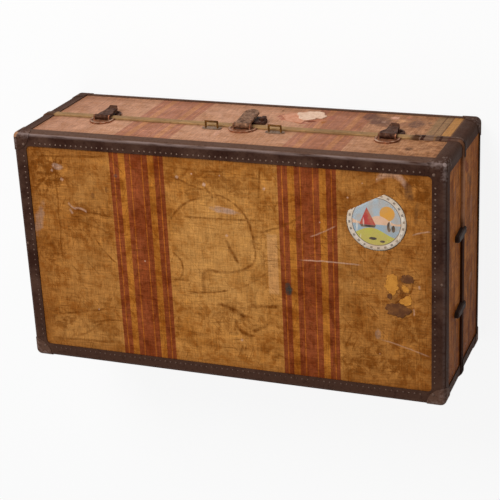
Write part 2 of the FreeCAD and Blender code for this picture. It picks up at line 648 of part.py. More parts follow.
def half_case(name, deep, strip, leg, place):
    """Nodes of one half of the case: boards, canvas, lining, bindings, caps and closing strip."""
    nodes = {name + "_" + part: [place(shape)] for part, shape in boards(deep).items()}
    edges, corners = bindings(deep, strip, leg)
    nodes[name + "_canvas"] = [place(canvas(deep))]
    nodes[name + "_lining"] = [place(lining(deep))]
    nodes[name + "_edge_binding"] = [place(edges)]
    nodes[name + "_corner_bindings"] = [place(solid) for solid in corners.Solids]
    nodes[name + "_corner_caps"] = [place(cap) for cap in corner_caps(leg, name == "base")]
    nodes[name + "_closing_strip"] = [place(closing_strip(deep, strip))]
    return nodes


def main():
    nodes = half_case("base", BASE_DEEP, BASE_STRIP, BASE_LEG, lambda shape: shape)
    nodes.update(half_case("lid", LID_DEEP, LID_STRIP, BINDING_WIDTH, turn_over))
    nodes["base_dust_lip"] = dust_lip()
    nodes.update(fittings())
    os.makedirs("parts", exist_ok=True)
    for name, shapes in nodes.items():
        solids = [solid for shape in shapes for solid in shape.Solids]
        whole = solids[0] if len(solids) == 1 else Part.makeCompound(solids)
        whole.exportStep("parts/" + name + ".step")
        print(name, len(solids), "solids", round(whole.Volume), "mm3", "valid" if whole.isValid() else "INVALID")


main()
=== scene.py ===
import math

import bpy
import numpy as np
from mathutils import Matrix, Vector


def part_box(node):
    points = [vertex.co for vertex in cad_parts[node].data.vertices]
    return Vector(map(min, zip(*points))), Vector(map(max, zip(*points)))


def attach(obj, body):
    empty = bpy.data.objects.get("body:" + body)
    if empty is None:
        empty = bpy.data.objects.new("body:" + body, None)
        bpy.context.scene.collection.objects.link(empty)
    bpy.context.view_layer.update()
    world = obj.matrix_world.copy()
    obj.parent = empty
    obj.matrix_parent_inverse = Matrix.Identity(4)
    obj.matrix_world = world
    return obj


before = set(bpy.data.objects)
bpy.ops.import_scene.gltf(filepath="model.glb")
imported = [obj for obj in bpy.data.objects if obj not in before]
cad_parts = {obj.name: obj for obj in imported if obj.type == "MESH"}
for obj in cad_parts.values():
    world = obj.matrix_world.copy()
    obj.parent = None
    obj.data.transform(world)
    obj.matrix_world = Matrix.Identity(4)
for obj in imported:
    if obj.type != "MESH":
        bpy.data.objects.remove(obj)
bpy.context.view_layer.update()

bl_info = {
    "name": "Striped travel trunk",
    "version": (1, 0, 0),
    "blender": (4, 5, 0),
    "location": "View3D > Sidebar > Trunk",
    "description": "Dresses the packed trunk in striped canvas, fibre bindings and worn metalwork",
    "category": "Object",
}

# Places taken from the frame, in metres
MM = 0.001
HALF_LENGTH, HALF_WIDTH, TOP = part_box("lid_edge_binding")[1]
CANVAS_END, CANVAS_BACK, CANVAS_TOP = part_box("lid_canvas")[1]
CAP_END, CAP_BACK, CAP_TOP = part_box("lid_corner_caps")[1]
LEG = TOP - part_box("lid_edge_binding")[0].z
STRIP_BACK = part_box("lid_closing_strip")[1].y
STRIP_LOW, STRIP_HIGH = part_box("base_closing_strip")[0].z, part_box("lid_closing_strip")[1].z
SEAM = (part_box("base_closing_strip")[1].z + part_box("lid_closing_strip")[0].z) / 2
CLAMP_END, CLAMP_FRONT, CLAMP_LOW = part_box("corner_clamps")[0]
CLAMP_STOP, _, CLAMP_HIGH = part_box("corner_clamps")[1]
LOOP_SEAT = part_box("handle_loop_plates")[0].y
CASE_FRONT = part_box("lock_case")[0].y
RIM_FRONT = LOOP_SEAT - 0.002
LEAF_BACK = CANVAS_BACK + 0.0021
HALVES = ("base", "lid")

# Middles of the fittings along X, in metres
CATCHES = (-0.310, 0.310)
LOCK = -0.005
LOOPS = (-0.0775, 0.0595)
HINGES = (-0.3, 0.0, 0.3)

# Marks on the lid, in millimetres from its middle as it is seen with the lock side up.
# A stroke has its start, a point on the way, its end, a half width and a strength.
LID_SCUFFS = (
    (-117, -86, -80, -127, -36, -146, 2.8, 0.79), (-36, -146, -2, -151, 25, -139, 2.8, 0.63),
    (25, -139, 56, -101, 65, -55, 3.3, 0.84), (65, -55, 62, -12, 37, 5, 3.3, 0.74),
    (-83, -100, 13, -102, 94, -107, 2.3, 0.74), (76, -79, 122, -95, 173, -124, 2.8, 0.63),
    (5, -58, 17, -34, 32, -7, 4.1, 0.84), (-40, 11, 6, 13, 50, 0, 3.7, 0.68),
    (-40, 12, -49, 36, -45, 65, 5.5, 0.63), (-114, -21, -93, 8, -103, 43, 2.8, 0.79),
    (-115, 43, -100, 42, -78, 39, 2.3, 0.63), (-78, 67, -36, 63, 6, 53, 2.3, 0.84),
    (6, 53, 55, 32, 104, -6, 2.3, 0.52), (-17, 85, 12, 96, 44, 112, 5.6, 1.0),
    (16, 116, 23, 138, 59, 150, 5.0, 1.0), (49, 83, 79, 80, 114, 77, 5.0, 1.0),
    (54, 140, 70, 133, 90, 119, 5.0, 0.88), (87, -216, 83, -182, 79, -151, 2.8, 0.79),
    (-114, -207, -54, -200, 13, -204, 2.8, 0.63), (13, -204, 61, -195, 117, -193, 2.3, 0.52),
    (-108, -184, -71, -172, -22, -157, 2.8, 0.68), (-34, -168, -25, -157, -16, -144, 3.7, 0.74),
    (-427, -203, -348, -208, -243, -216, 2.8, 0.74), (-369, -220, -368, -99, -371, 31, 2.0, 0.74),
    (-422, -125, -385, -166, -345, -201, 3.3, 0.74), (-348, -100, -295, -89, -242, -86, 2.3, 0.84),
    (-288, -33, -274, -11, -242, 21, 2.3, 0.74), (-414, -9, -402, -7, -390, -12, 4.7, 0.84),
    (-411, 98, -400, 96, -387, 99, 4.7, 0.74), (-398, 152, -340, 142, -276, 126, 3.3, 0.84),
    (-319, 169, -283, 156, -242, 153, 2.8, 0.74), (-412, 211, -331, 207, -246, 203, 3.3, 0.63),
    (-352, 199, -319, 182, -289, 160, 2.8, 0.63), (-386, 164, -380, 166, -374, 169, 4.7, 0.84),
    (-263, 182, -259, 186, -255, 188, 3.7, 0.84), (248, 174, 292, 183, 336, 200, 6.5, 0.52),
    (242, 124, 249, 139, 254, 155, 5.5, 0.52), (-334, -68, -288, -59, -244, -41, 2.3, 0.52),
    (-115, 178, -12, 183, 109, 174, 5.5, 0.37), (278, 146, 309, 171, 315, 213, 5.5, 0.42),
    (386, 19, 372, 30, 355, 42, 3.0, 1.0), (391, -3, 390, 8, 386, 19, 2.4, 0.9),
    (361, 1, 367, 10, 365, 25, 2.4, 0.9), (341, -6, 345, -11, 350, -16, 2.4, 0.9),
)
LID_SCRAPES = (
    (164, -30, 225, -32, 287, -32, 1.6, 0.8), (326, 124, 372, 134, 425, 150, 1.6, 0.45),
    (-344, -108, -337, -100, -326, -94, 2.4, 0.65), (-329, -97, -317, -97, -302, -90, 2.6, 0.65),
    (321, -212, 347, -225, 379, -203, 8.0, 0.6), (-341, -94, -339, -89, -335, -84, 2.5, 0.65),
    (391, -104, 408, -110, 427, -114, 1.6, 0.6), (185, -81, 212, -94, 237, -108, 1.6, 0.5),
    (-38, -173, -34, -172, -31, -170, 4.0, 0.9), (-96, -185, -93, -184, -90, -182, 3.5, 0.8),
    (90, -174, 93, -173, 95, -172, 3.5, 0.7), (6, -68, 8, -67, 11, -65, 3.0, 0.7),
    (27, 161, 29, 162, 32, 163, 3.0, 0.7), (-376, -178, -374, -177, -372, -175, 3.0, 0.7),
    (-356, -160, -353, -158, -350, -156, 3.5, 0.7), (393, 50, 394, 57, 394, 65, 1.6, 0.6),
    (404, 0, 404, 4, 405, 8, 2.2, 0.7),
)

# Zones of wear: middle, half sizes and strength
LID_ZONES = (
    (-398, -177, 90, 85, 0.8), (-388, 2, 50, 45, 0.4), (-299, -82, 75, 40, 0.4), (305, 179, 130, 60, 0.5),
    (395, -184, 55, 60, 0.7), (17, 108, 90, 60, 0.3), (-12, -176, 120, 45, 0.4), (389, 74, 60, 170, 0.4),
    (-329, 186, 110, 40, 0.25), (-380, 166, 45, 40, 0.5), (87, -44, 40, 70, 0.35),
)
LID_FADED = (
    (-2, -21, 150, 190, 0.8), (-299, 57, 90, 120, 0.35), (-330, 185, 130, 60, 0.6), (-295, -137, 60, 60, 0.6),
    (12, -160, 90, 50, 0.6), (253, -28, 50, 150, 0.5),
)

# Tones of the stains, in 0 to 255
STAIN_TONES = {
    "ink": (58, 56, 50), "umber": (90, 56, 36), "brown": (106, 66, 34), "plum": (101, 68, 57),
    "mauve": (110, 77, 62), "russet": (157, 93, 76), "ochre": (151, 83, 27), "tan": (149, 103, 76),
    "dust": (151, 116, 94), "rose": (190, 122, 92), "peach": (205, 149, 106), "pale": (214, 162, 138),
    "lilac": (172, 137, 116), "blood": (104, 42, 24),
}

# A stain is an uneven spot: its middle, half sizes, turn in degrees, tone and strength
LID_STAINS = (
    (382, -194, 10, 24, -15, "umber", 0.75), (399, -149, 5, 26, 4, "brown", 0.6),
    (-361, -185, 16, 8, 8, "lilac", 0.8), (-285, -127, 5, 9, 0, "brown", 0.8),
    (-253, -144, 3, 8, 0, "brown", 0.8), (-229, -175, 6, 6, 0, "plum", 0.8),
    (136, 35, 9, 17, -4, "ink", 1.0), (365, 22, 26, 42, 0, "brown", 0.35), (320, 113, 7, 14, 5, "dust", 0.7),
    (-415, -66, 12, 46, 17, "dust", 0.75), (6, -121, 34, 9, 6, "lilac", 0.85),
)

# Outlines of torn paper. On the walls the second number is the height over the floor with a minus sign,
# and the first one runs along -X on the lock side and along Y on the ends.
LID_REMAINS = {
    "ochre_main": ((340, -14), (348, -18), (359, -18), (360, -2), (359, 15), (352, 28), (346, 21), (341, 17),
                   (339, -2)),
    "ochre_side": ((369, 4), (376, 2), (382, 7), (383, 16), (376, 16), (371, 10)),
    "ochre_low": ((364, 37), (374, 30), (386, 23), (389, 33), (384, 44), (374, 43)),
    "upper_scrap": ((367, -11), (370, -17), (378, -20), (388, -19), (393, -13), (391, -5), (382, -4),
                    (372, -4)),
    "knot_scrap": ((341, 25), (347, 22), (349, 28), (346, 34), (342, 32)),
    "lower_scrap": ((336, 52), (342, 44), (354, 44), (371, 45), (383, 49), (387, 57), (377, 67), (357, 68),
                    (341, 62)),
}
LOCK_SIDE_REMAINS = {
    "peeled_tail": ((53, -74), (60, -57), (75, -49), (90, -66), (102, -91), (110, -98), (111, -114),
                    (97, -112), (81, -104), (63, -87)),
    "peeled_patch": ((81, -46), (94, -38), (108, -35), (124, -36), (136, -42), (145, -62), (143, -79),
                     (131, -77), (125, -88), (112, -93), (100, -90), (89, -70)),
}
LOCK_SIDE_STAINS_AND_SHADOWS = (
    (98, -74, 64, 44, 0, "rose", 0.8), (52, -75, 8, 16, -20, "russet", 0.9),
    # The dark red spot at 122, -98 is a painted shadow under the peeled patch.
    (62, -90, 10, 12, 30, "russet", 0.7), (122, -98, 17, 8, 0, "blood", 1.0),
    (112, -113, 10, 8, 20, "russet", 0.9), (152, -99, 7, 11, 0, "ochre", 0.9),
    (156, -67, 16, 22, 0, "russet", 0.7), (238, -43, 24, 28, 0, "plum", 0.95),
    (262, -59, 28, 30, 0, "mauve", 0.9), (257, -78, 18, 18, 0, "plum", 0.9),
    (284, -83, 34, 24, 0, "mauve", 0.9), (307, -78, 32, 22, 0, "tan", 0.8),
    (340, -74, 22, 32, 0, "mauve", 1.0), (322, -39, 24, 16, 0, "tan", 0.8),
    (288, -41, 12, 13, 20, "pale", 1.0), (307, -58, 9, 10, 0, "peach", 1.0),
    (316, -32, 10, 7, 0, "rose", 0.9), (303, -69, 7, 9, 0, "peach", 0.9),
    (272, -71, 6, 5, 0, "lilac", 0.8), (369, -103, 5, 7, 0, "brown", 0.8),
    # The umber spot at 392, -154 is partly dirt and partly a painted shadow above the clamps.
    (392, -154, 42, 8, 0, "umber", 0.9), (43, -37, 4, 6, 20, "umber", 0.9),
    (365, -231, 11, 13, 0, "umber", 0.95), (-260, -75, 12, 6, 20, "tan", 0.7),
    (-395, -97, 15, 9, 0, "tan", 0.7), (-264, -149, 9, 4, 0, "umber", 0.8),
    (-38, -213, 7, 22, 10, "pale", 0.6), (365, -59, 6, 7, 0, "mauve", 0.7),
    (334, -196, 5, 4, 0, "umber", 0.8), (326, -270, 5, 4, 0, "umber", 0.8),
    (-188, -62, 8, 6, 0, "tan", 0.5),
)
END_STAINS = (
    (-187, -123, 26, 14, 60, "blood", 0.85), (-155, -102, 30, 12, 50, "umber", 0.6),
    (-80, -251, 10, 26, 0, "ochre", 0.8), (69, -76, 10, 16, 20, "dust", 0.6),
    (94, -60, 8, 8, 0, "tan", 0.5), (85, -101, 22, 10, 20, "umber", 0.6),
    (-84, -78, 40, 13, 0, "tan", 0.75), (-159, -224, 30, 12, 0, "tan", 0.6),
    (162, -213, 60, 12, 0, "umber", 0.6), (-149, -82, 24, 10, 0, "umber", 0.5),
    (116, -68, 30, 10, 0, "umber", 0.5),
)

# Pale strip on the lid and lined patch at the clamped end of the lock side: start and stop, in metres
PALE_STRIP_RIGHT, PALE_STRIP_DOWN = (0.094, 0.1155), (-0.079, 0.050)
LINED_PATCH = (0.374, 0.438)
LINES_START, LINES_REACH = 0.370, 0.056

# Reaches of the grime in metres, and where the lid's darker outer panels start along the length
EDGE_GRIME, SEAM_GRIME = 0.03, (0.022, 0.01)
OUTER_PANELS = (0.232, 0.258)


def paint(red, green, blue):
    """Linear colour of an sRGB one that is written in 0 to 255."""
    shares = np.array((red, green, blue)) / 255
    return tuple(np.where(shares <= 0.04045, shares / 12.92, ((shares + 0.055) / 1.055) ** 2.4))


def colour(name, description, value):
    """Colour property with its default."""
    return bpy.props.FloatVectorProperty(name=name, description=description, subtype="COLOR", size=3,
                                         min=0.0, max=1.0, default=value)


def amount(name, description, value, unit="NONE", precision=2):
    """Number property with its unit and default."""
    return bpy.props.FloatProperty(name=name, description=description, unit=unit, precision=precision,
                                   default=value)


def length(name, description, value):
    """Length property in metres with its default."""
    return amount(name, description, value, "LENGTH", 4)


def place(name, description, value):
    """Place property in metres with its default."""
    return bpy.props.FloatVectorProperty(name=name, description=description, subtype="TRANSLATION", size=3,
                                         default=value)


class CanvasLook(bpy.types.PropertyGroup):
    """Colours and stripes of the canvas."""
    ground: colour("Ground", "Varnished canvas on the lid and the underside", paint(180, 122, 60))
    faded: colour("Faded", "Varnished canvas that the light has bleached", paint(190, 136, 74))
    lock_side: colour("Lock side", "Canvas without varnish on the lock and hinge sides", paint(190, 142, 114))
    ends: colour("Ends", "Canvas on the two ends", paint(190, 120, 52))
    red: colour("Red", "Main stripes", paint(136, 68, 36))
    yellow: colour("Yellow", "Yellow stripes", paint(173, 108, 42))
    thread: colour("Thread", "Thin lines between the stripes", paint(172, 98, 36))
    washed: colour("Washed", "Cast of the stripes where the varnish has gone", paint(196, 146, 124))
    scuff: colour("Scuff", "Dark rubbed strokes", paint(106, 55, 8))
    scrape: colour("Scrape", "Pale scraped strokes", paint(198, 158, 134))
    pale_strip: colour("Pale strip", "Strip on the lid that was covered", paint(204, 150, 96))
    stripe_centre: length("Stripe centre", "Distance of a band's middle from the trunk's middle", 0.181)
    stripe_half: length("Stripe half width", "Half width of a stripe band", 0.0605)
    thread_pitch: length("Thread pitch", "Distance between threads of the weave", 0.0011)


class BindingLook(bpy.types.PropertyGroup):
    """Colours of the fibre bindings and caps."""
    fibre: colour("Fibre", "Dark vulcanised fibre", paint(51, 30, 23))
    dusty: colour("Dusty", "Fibre that is rubbed and dusty", paint(98, 72, 59))
    # Rubbed is the pale of rubbed fibre and also of the painted highlight along the lid's edges.
    rubbed: colour("Rubbed", "Fibre polished pale along the edges", paint(150, 130, 124))
    torn: colour("Torn", "Raw fibre where a corner has broken", paint(156, 108, 72))
    # Edge reach is how far the polish and its painted highlight reach from an edge.
    edge: length("Edge reach", "How far wear reaches from an edge", 0.009)


class MetalLook(bpy.types.PropertyGroup):
    """Colours of the metalwork."""
    strip: colour("Strip", "Dull brass of the closing strips", paint(160, 124, 82))
    strip_dark: colour("Strip tarnish", "Tarnish on the closing strips", paint(98, 72, 56))
    strip_end: colour("Strip end", "Brown of the strips along the ends", paint(168, 116, 84))
    # Strip shade is painted shade on the strips along the ends, past the first guide.
    strip_painted_shade: colour("Strip shade", "Dark brown of the strips past the first guide", paint(50, 22, 6))
    brass: colour("Brass", "Worn brass of the handle loops", paint(120, 80, 34))
    plate: colour("Loop plate", "Dull plates under the handle loops", paint(142, 114, 92))
    nickel: colour("Nickel", "Worn nickel plate of the lock and hinges", paint(144, 106, 80))
    catch: colour("Catch", "Browned steel of the catches", paint(84, 54, 38))
    keeper: colour("Keeper", "Dark browned steel of the keepers and the lock's case", paint(72, 44, 32))
    dish: colour("Dish", "Browned plates under the hasps", paint(156, 100, 70))
    # Rim is the colour of the painted highlight on the plates' raised rims.
    rim: colour("Rim", "Polished rims of the plates", paint(188, 152, 126))
    rust: colour("Rust", "Rust on the plated steel", paint(54, 29, 20))
    japan: colour("Japan", "Black japanned steel", paint(46, 33, 26))
    head: colour("Nail head", "Dull head of a nail", paint(114, 90, 76))


class NailSizes(bpy.types.PropertyGroup):
    """Nails in the bindings and rivets in the fittings."""
    pitch: length("Nail pitch", "Distance between nails", 0.0117)
    inset: length("Nail inset", "Distance of the nails from the case's edges", 0.0212)
    radius: length("Nail radius", "Radius of a nail's head", 0.0019)
    height: length("Nail height", "Height of a nail's head on the lid", 0.0009)
    sunk: length("Sunk nail height", "Height of a nail's head under the base", 0.0002)
    rivet: length("Rivet radius", "Radius of a rivet's head", 0.0030)
    small_rivet: length("Small rivet radius", "Radius of a rivet's head in the fittings", 0.0018)
    pin: length("Pin radius", "Radius of a pin's head in the closing strips", 0.0011)


class LabelSizes(bpy.types.PropertyGroup):
    """Round paper label on the lid."""
    centre: place("Centre", "Middle of the label", (-0.320, -0.125, CANVAS_TOP))
    radius: length("Radius", "Radius of the label", 0.060)
    torn: length("Torn edge", "Distance of the torn straight edge from the middle", 0.043)
    thickness: length("Thickness", "Thickness of the paper", 0.0003)


class StageLook(bpy.types.PropertyGroup):
    """Camera and light."""
    camera: place("Camera", "Place of the camera", (-1.037, -1.1157, 2.779))
    aim: place("Aim", "Point that the camera looks at", (-0.0581, -0.042, 0.3055))
    picture_up: place("Picture up", "Direction that is upwards in the picture", (-0.049, -1.0, 0.0))
    lens: amount("Lens", "Focal length", 103.33, "CAMERA")
    sensor: amount("Sensor", "Width of the camera's sensor", 36.0, "CAMERA")
    key: amount("Key", "Power of the key light", 88.0, "POWER")
    key_place: place("Key place", "Place of the key light", (0.9, -2.5, 2.5))
    key_size: length("Key size", "Side of the key light", 1.8)
    fill: amount("Fill", "Power of the fill light", 16.0, "POWER")
    fill_place: place("Fill place", "Place of the fill light", (0.6, 0.8, 3.2))
    fill_size: length("Fill size", "Side of the fill light", 1.6)
    room: amount("Room", "Strength of the light all round", 0.33)


class Graph:
    """Short ways to add and join the nodes of one tree."""

    def __init__(self, tree):
        self.tree = tree

    def node(self, kind, **settings):
        """Add a node and set its options."""
        made = self.tree.nodes.new(kind)
        for key, value in settings.items():
            setattr(made, key, value)
        return made

    def feed(self, socket, value):
        """Link a socket to another, or set its constant."""
        if isinstance(value, bpy.types.NodeSocket):
            self.tree.links.new(value, socket)
        elif socket.type == "RGBA":
            socket.default_value = (*value[:3], 1.0)
        else:
            socket.default_value = value

    def filled(self, made, values):
        """Feed a node's inputs in order."""
        for socket, value in zip(made.inputs, values):
            self.feed(socket, value)
        return made

    def math(self, operation, *values):
        """Result of a Math node."""
        return self.filled(self.node("ShaderNodeMath", operation=operation), values).outputs[0]

    def line(self, value, slope, start):
        """The straight line value * slope + start."""
        return self.math("MULTIPLY_ADD", value, slope, start)

    def minus(self, a, b):
        """Difference of two values."""
        return self.math("SUBTRACT", a, b)

    def absolute(self, value):
        """A value without its sign."""
        return self.math("ABSOLUTE", value)

    def hypot(self, u, v):
        """Length of the vector with the parts u and v."""
        return self.math("SQRT", self.math("ADD", self.times(u, u), self.times(v, v)))

    def times(self, *values):
        """Product of several values."""
        total = values[0]
        for value in values[1:]:
            total = self.math("MULTIPLY", total, value)
        return total

    def vector(self, operation, *values):
        """Result of a Vector Math node."""
        made = self.filled(self.node("ShaderNodeVectorMath", operation=operation), values)
        return made.outputs[1 if operation in ("DOT_PRODUCT", "DISTANCE") else 0]

    def ease(self, value, low, high):
        """Smooth step from 0 at low to 1 at high."""
        made = self.node("ShaderNodeMapRange", interpolation_type="SMOOTHSTEP")
        return self.filled(made, (value, low, high)).outputs[0]

    def mix(self, factor, a, b, blend="MIX"):
        """Mix two colours."""
        made = self.node("ShaderNodeMix", data_type="RGBA", blend_type=blend)
        for index, value in ((0, factor), (6, a), (7, b)):
            self.feed(made.inputs[index], value)
        return made.outputs[2]

    def darker(self, factor, base, shares):
        """The colour base, multiplied by shares as far as factor goes."""
        return self.mix(factor, base, shares, "MULTIPLY")

    def noise(self, where, scale, detail=3.0, roughness=0.5, distortion=0.0, output="Fac"):
        """Value of a Noise Texture, with scale in features for each metre."""
        made = self.node("ShaderNodeTexNoise")
        values = {"Vector": where, "Scale": scale, "Detail": detail, "Roughness": roughness,
                  "Distortion": distortion}
        for key, value in values.items():
            self.feed(made.inputs[key], value)
        return made.outputs[output]

    def drawn(self, where, stretch, *settings):
        """Noise that is drawn out along the axes where stretch is below 1."""
        return self.noise(self.vector("MULTIPLY", where, stretch), *settings)

    def wander(self, where, scale, reach):
        """Place moved about by noise, by up to half of reach."""
        sway = self.vector("SUBTRACT", self.noise(where, scale, 3.0, output="Color"), (0.5, 0.5, 0.5))
        return self.vector("ADD", where, self.vector("MULTIPLY", sway, (reach, reach, 0.0)))

    def ramp(self, value, stops, interpolation="LINEAR"):
        """Colour ramp over (position, colour) stops."""
        made = self.node("ShaderNodeValToRGB")
        made.color_ramp.interpolation = interpolation
        elements = made.color_ramp.elements
        while len(elements) < len(stops):
            elements.new(1.0)
        for element, (position, shade) in zip(elements, stops):
            element.position = position
            element.color = (*shade[:3], 1.0)
        self.feed(made.inputs[0], value)
        return made.outputs[0]

    def split(self, vector):
        """The three parts of a vector."""
        return self.filled(self.node("ShaderNodeSeparateXYZ"), (vector,)).outputs[:3]

    def join(self, x, y, z):
        """Vector of three parts."""
        return self.filled(self.node("ShaderNodeCombineXYZ"), (x, y, z)).outputs[0]

    def call(self, group, *values):
        """Outputs of a node group fed with these values."""
        return self.filled(self.node("ShaderNodeGroup", node_tree=group), values).outputs

    def largest(self, values):
        """Largest of several masks."""
        total = values[0]
        for value in values[1:]:
            total = self.math("MAXIMUM", total, value)
        return total

    def between(self, value, low, high, soft):
        """1 between two limits, with soft edges."""
        above = self.ease(value, low - soft, low + soft)
        return self.times(above, self.ease(value, high + soft, high - soft))

    def where(self):
        """Object coordinates, which are the row frame's metres on every piece."""
        return self.node("ShaderNodeTexCoord").outputs["Object"]


def node_group(name, inputs, outputs, lay):
    """Shader node group; lay receives the tree and the input sockets and gives the outputs in order."""
    tree = bpy.data.node_groups.get(name)
    if tree:
        return tree
    tree = bpy.data.node_groups.new(name, "ShaderNodeTree")
    kinds = {"value": "NodeSocketFloat", "vector": "NodeSocketVector"}
    for way, sockets in (("INPUT", inputs), ("OUTPUT", outputs)):
        for label, kind in sockets:
            tree.interface.new_socket(name=label, in_out=way, socket_type=kinds[kind])
    graph = Graph(tree)
    start = graph.node("NodeGroupInput")
    end = graph.node("NodeGroupOutput")
    graph.filled(end, lay(graph, *start.outputs[:len(inputs)]))
    return tree


def stroke_group():
    """Mask of one bent stroke: distance across a parabola through its two ends, faded at both."""
    def lay(g, where, middle, along, across, half_long, bend, half_wide):
        away = g.vector("SUBTRACT", where, middle)
        s = g.vector("DOT_PRODUCT", away, along)
        t = g.vector("DOT_PRODUCT", away, across)
        reach = g.math("DIVIDE", s, half_long)
        sag = g.times(bend, g.minus(1.0, g.times(reach, reach)))
        off = g.absolute(g.minus(t, sag))
        ends = g.ease(g.absolute(reach), 1.1, 0.75)
        body = g.ease(off, g.times(half_wide, 1.4), g.times(half_wide, 0.15))
        return [g.times(body, ends)]
    inputs = [("Place", "vector"), ("Middle", "vector"), ("Along", "vector"), ("Across", "vector"),
              ("Half length", "value"), ("Bend", "value"), ("Half width", "value")]
    return node_group("Stroke", inputs, [("Mask", "value")], lay)


def spot_group():
    """Mask of one spot: an ellipse whose edge wanders with a ragged value about 0.5, full inside its core."""
    def lay(g, where, middle, along, across, half_long, half_wide, ragged, core):
        away = g.vector("SUBTRACT", where, middle)
        s = g.math("DIVIDE", g.vector("DOT_PRODUCT", away, along), half_long)
        t = g.math("DIVIDE", g.vector("DOT_PRODUCT", away, across), half_wide)
        uneven = g.line(g.minus(ragged, 0.5), 1.5, g.hypot(s, t))
        return [g.ease(uneven, 1.0, core)]
    inputs = [("Place", "vector"), ("Middle", "vector"), ("Along", "vector"), ("Across", "vector"),
              ("Half length", "value"), ("Half width", "value"), ("Ragged", "value"), ("Core", "value")]
    return node_group("Spot", inputs, [("Mask", "value")], lay)


def edge_group():
    """Distance from the nearest edge of the case: the middle one of the distances from its faces."""
    def lay(g, where):
        x, y, z = g.split(where)
        dx = g.minus(HALF_LENGTH, g.absolute(x))
        dy = g.minus(HALF_WIDTH, g.absolute(y))
        dz = g.math("MINIMUM", z, g.minus(TOP, z))
        inner = g.math("MINIMUM", g.math("MAXIMUM", dx, dy), dz)
        return [g.math("MAXIMUM", g.math("MINIMUM", dx, dy), inner)]
    return node_group("Case edge", [("Place", "vector")], [("Distance", "value")], lay)


def grime_group():
    """Masks of old surfaces: broad blotches, fine pitting and rubbed streaks along X."""
    def lay(g, where, scale):
        broad = g.ease(g.noise(where, scale, 5.0, 0.6), 0.38, 0.68)
        fine = g.noise(where, g.times(scale, 12.0), 3.0, 0.6)
        streaks = g.drawn(where, (0.12, 1.0, 1.0), g.times(scale, 7.0), 3.0, 0.6)
        return [broad, fine, streaks]
    outputs = [("Broad", "value"), ("Fine", "value"), ("Streaks", "value")]
    return node_group("Grime", [("Place", "vector"), ("Scale", "value")], outputs, lay)


def weave_group():
    """Height of a plain weave with a thread pitch, and the slubs of its uneven threads."""
    def lay(g, flat, pitch):
        u, v, _ = g.split(flat)
        turn = g.math("DIVIDE", math.pi, pitch)
        warp = g.absolute(g.math("SINE", g.times(u, turn)))
        weft = g.absolute(g.math("SINE", g.times(v, turn)))
        slubs = [g.drawn(flat, stretch, 340.0, 2.0, 0.6)
                 for stretch in ((1.0, 0.07, 1.0), (0.07, 1.0, 1.0))]
        return [g.times(warp, weft), g.times(g.math("ADD", *slubs), 0.5)]
    return node_group("Weave", [("Flat", "vector"), ("Pitch", "value")],
                      [("Threads", "value"), ("Slubs", "value")], lay)


def cleared(holder):
    """Empty node graph of a material or a world."""
    holder.use_nodes = True
    holder.node_tree.nodes.clear()
    return Graph(holder.node_tree)


def new_material(name):
    """Material with a Principled shader; gives the material, its graph and the shader."""
    material = bpy.data.materials.new(name)
    graph = cleared(material)
    shader = graph.node("ShaderNodeBsdfPrincipled")
    output = graph.node("ShaderNodeOutputMaterial")
    graph.feed(output.inputs["Surface"], shader.outputs[0])
    return material, graph, shader


def set_shader(graph, shader, height=None, bump=0.1, depth=0.0005, **values):
    """Feed the shader's inputs by name, with a bump from height."""
    for key, value in values.items():
        graph.feed(shader.inputs[key.replace("_", " ")], value)
    if height is not None:
        made = graph.node("ShaderNodeBump")
        graph.feed(made.inputs["Strength"], bump)
        graph.feed(made.inputs["Distance"], depth)
        graph.feed(made.inputs["Height"], height)
        graph.feed(shader.inputs["Normal"], made.outputs[0])


def stroke_values(stroke):
    """Middle, directions, half length, bend and half width of a stroke through three points."""
    start, way, end = (Vector((*stroke[i:i + 2], 0.0)) * MM for i in (0, 2, 4))
    run = end - start
    along = run.normalized()
    across = Vector((along.y, -along.x, 0.0))
    middle = (start + end) / 2
    return middle, along, across, run.length / 2, (way - middle).dot(across), stroke[6] * MM


def strokes_mask(g, flat, strokes):
    """Largest of the strokes' masks."""
    group = stroke_group()
    return g.largest([g.times(g.call(group, flat, *stroke_values(stroke))[0], stroke[-1])
                      for stroke in strokes])


def spot_mask(g, flat, x, y, half_x, half_y, turn=0.0, ragged=0.5, core=0.0):
    """Mask of a spot given in millimetres and degrees."""
    angle = math.radians(turn)
    along = (math.cos(angle), math.sin(angle), 0.0)
    across = (-math.sin(angle), math.cos(angle), 0.0)
    middle = (x * MM, y * MM, 0.0)
    return g.call(spot_group(), flat, middle, along, across, half_x * MM, half_y * MM, ragged, core)[0]


def zones_mask(g, flat, zones):
    """Largest of several soft zones."""
    return g.largest([g.times(spot_mask(g, flat, *zone[:4], core=0.35), zone[4]) for zone in zones])


def stained(g, base, flat, face, stains, ragged, mottle):
    """The colour base with mottled spots over it on one face."""
    for x, y, half_x, half_y, turn, tone, strength in stains:
        mask = spot_mask(g, flat, x, y, half_x, half_y, turn, ragged, 0.55)
        base = g.mix(g.times(mask, mottle, face, strength), base, paint(*STAIN_TONES[tone]))
    return base


def canvas_stripes(g, x, look):
    """Mask of the stripe bands and their colours, from the distance to the nearest band's middle."""
    off = g.minus(g.absolute(x), look.stripe_centre)
    share = g.math("DIVIDE", g.absolute(off), look.stripe_half)
    red, yellow, thread = look.red, look.yellow, look.thread
    centre = tuple(1.05 * part for part in red)
    outer = tuple(0.98 * part for part in red)
    stops = [(0.0, centre), (0.195, thread), (0.23, red), (0.415, yellow), (0.645, outer), (0.815, thread),
             (0.85, outer)]
    return g.ease(share, 1.0, 0.985), g.ramp(share, stops, "CONSTANT")


def specks(g, flat, scale, share, radius):
    """Mask of small scattered dots, each at the middle of one of a few Voronoi cells."""
    cells = g.node("ShaderNodeTexVoronoi")
    g.feed(cells.inputs["Vector"], flat)
    g.feed(cells.inputs["Scale"], scale)
    chosen = g.math("GREATER_THAN", g.split(cells.outputs["Color"])[0], 1.0 - share)
    return g.times(chosen, g.ease(cells.outputs["Distance"], radius, 0.4 * radius))


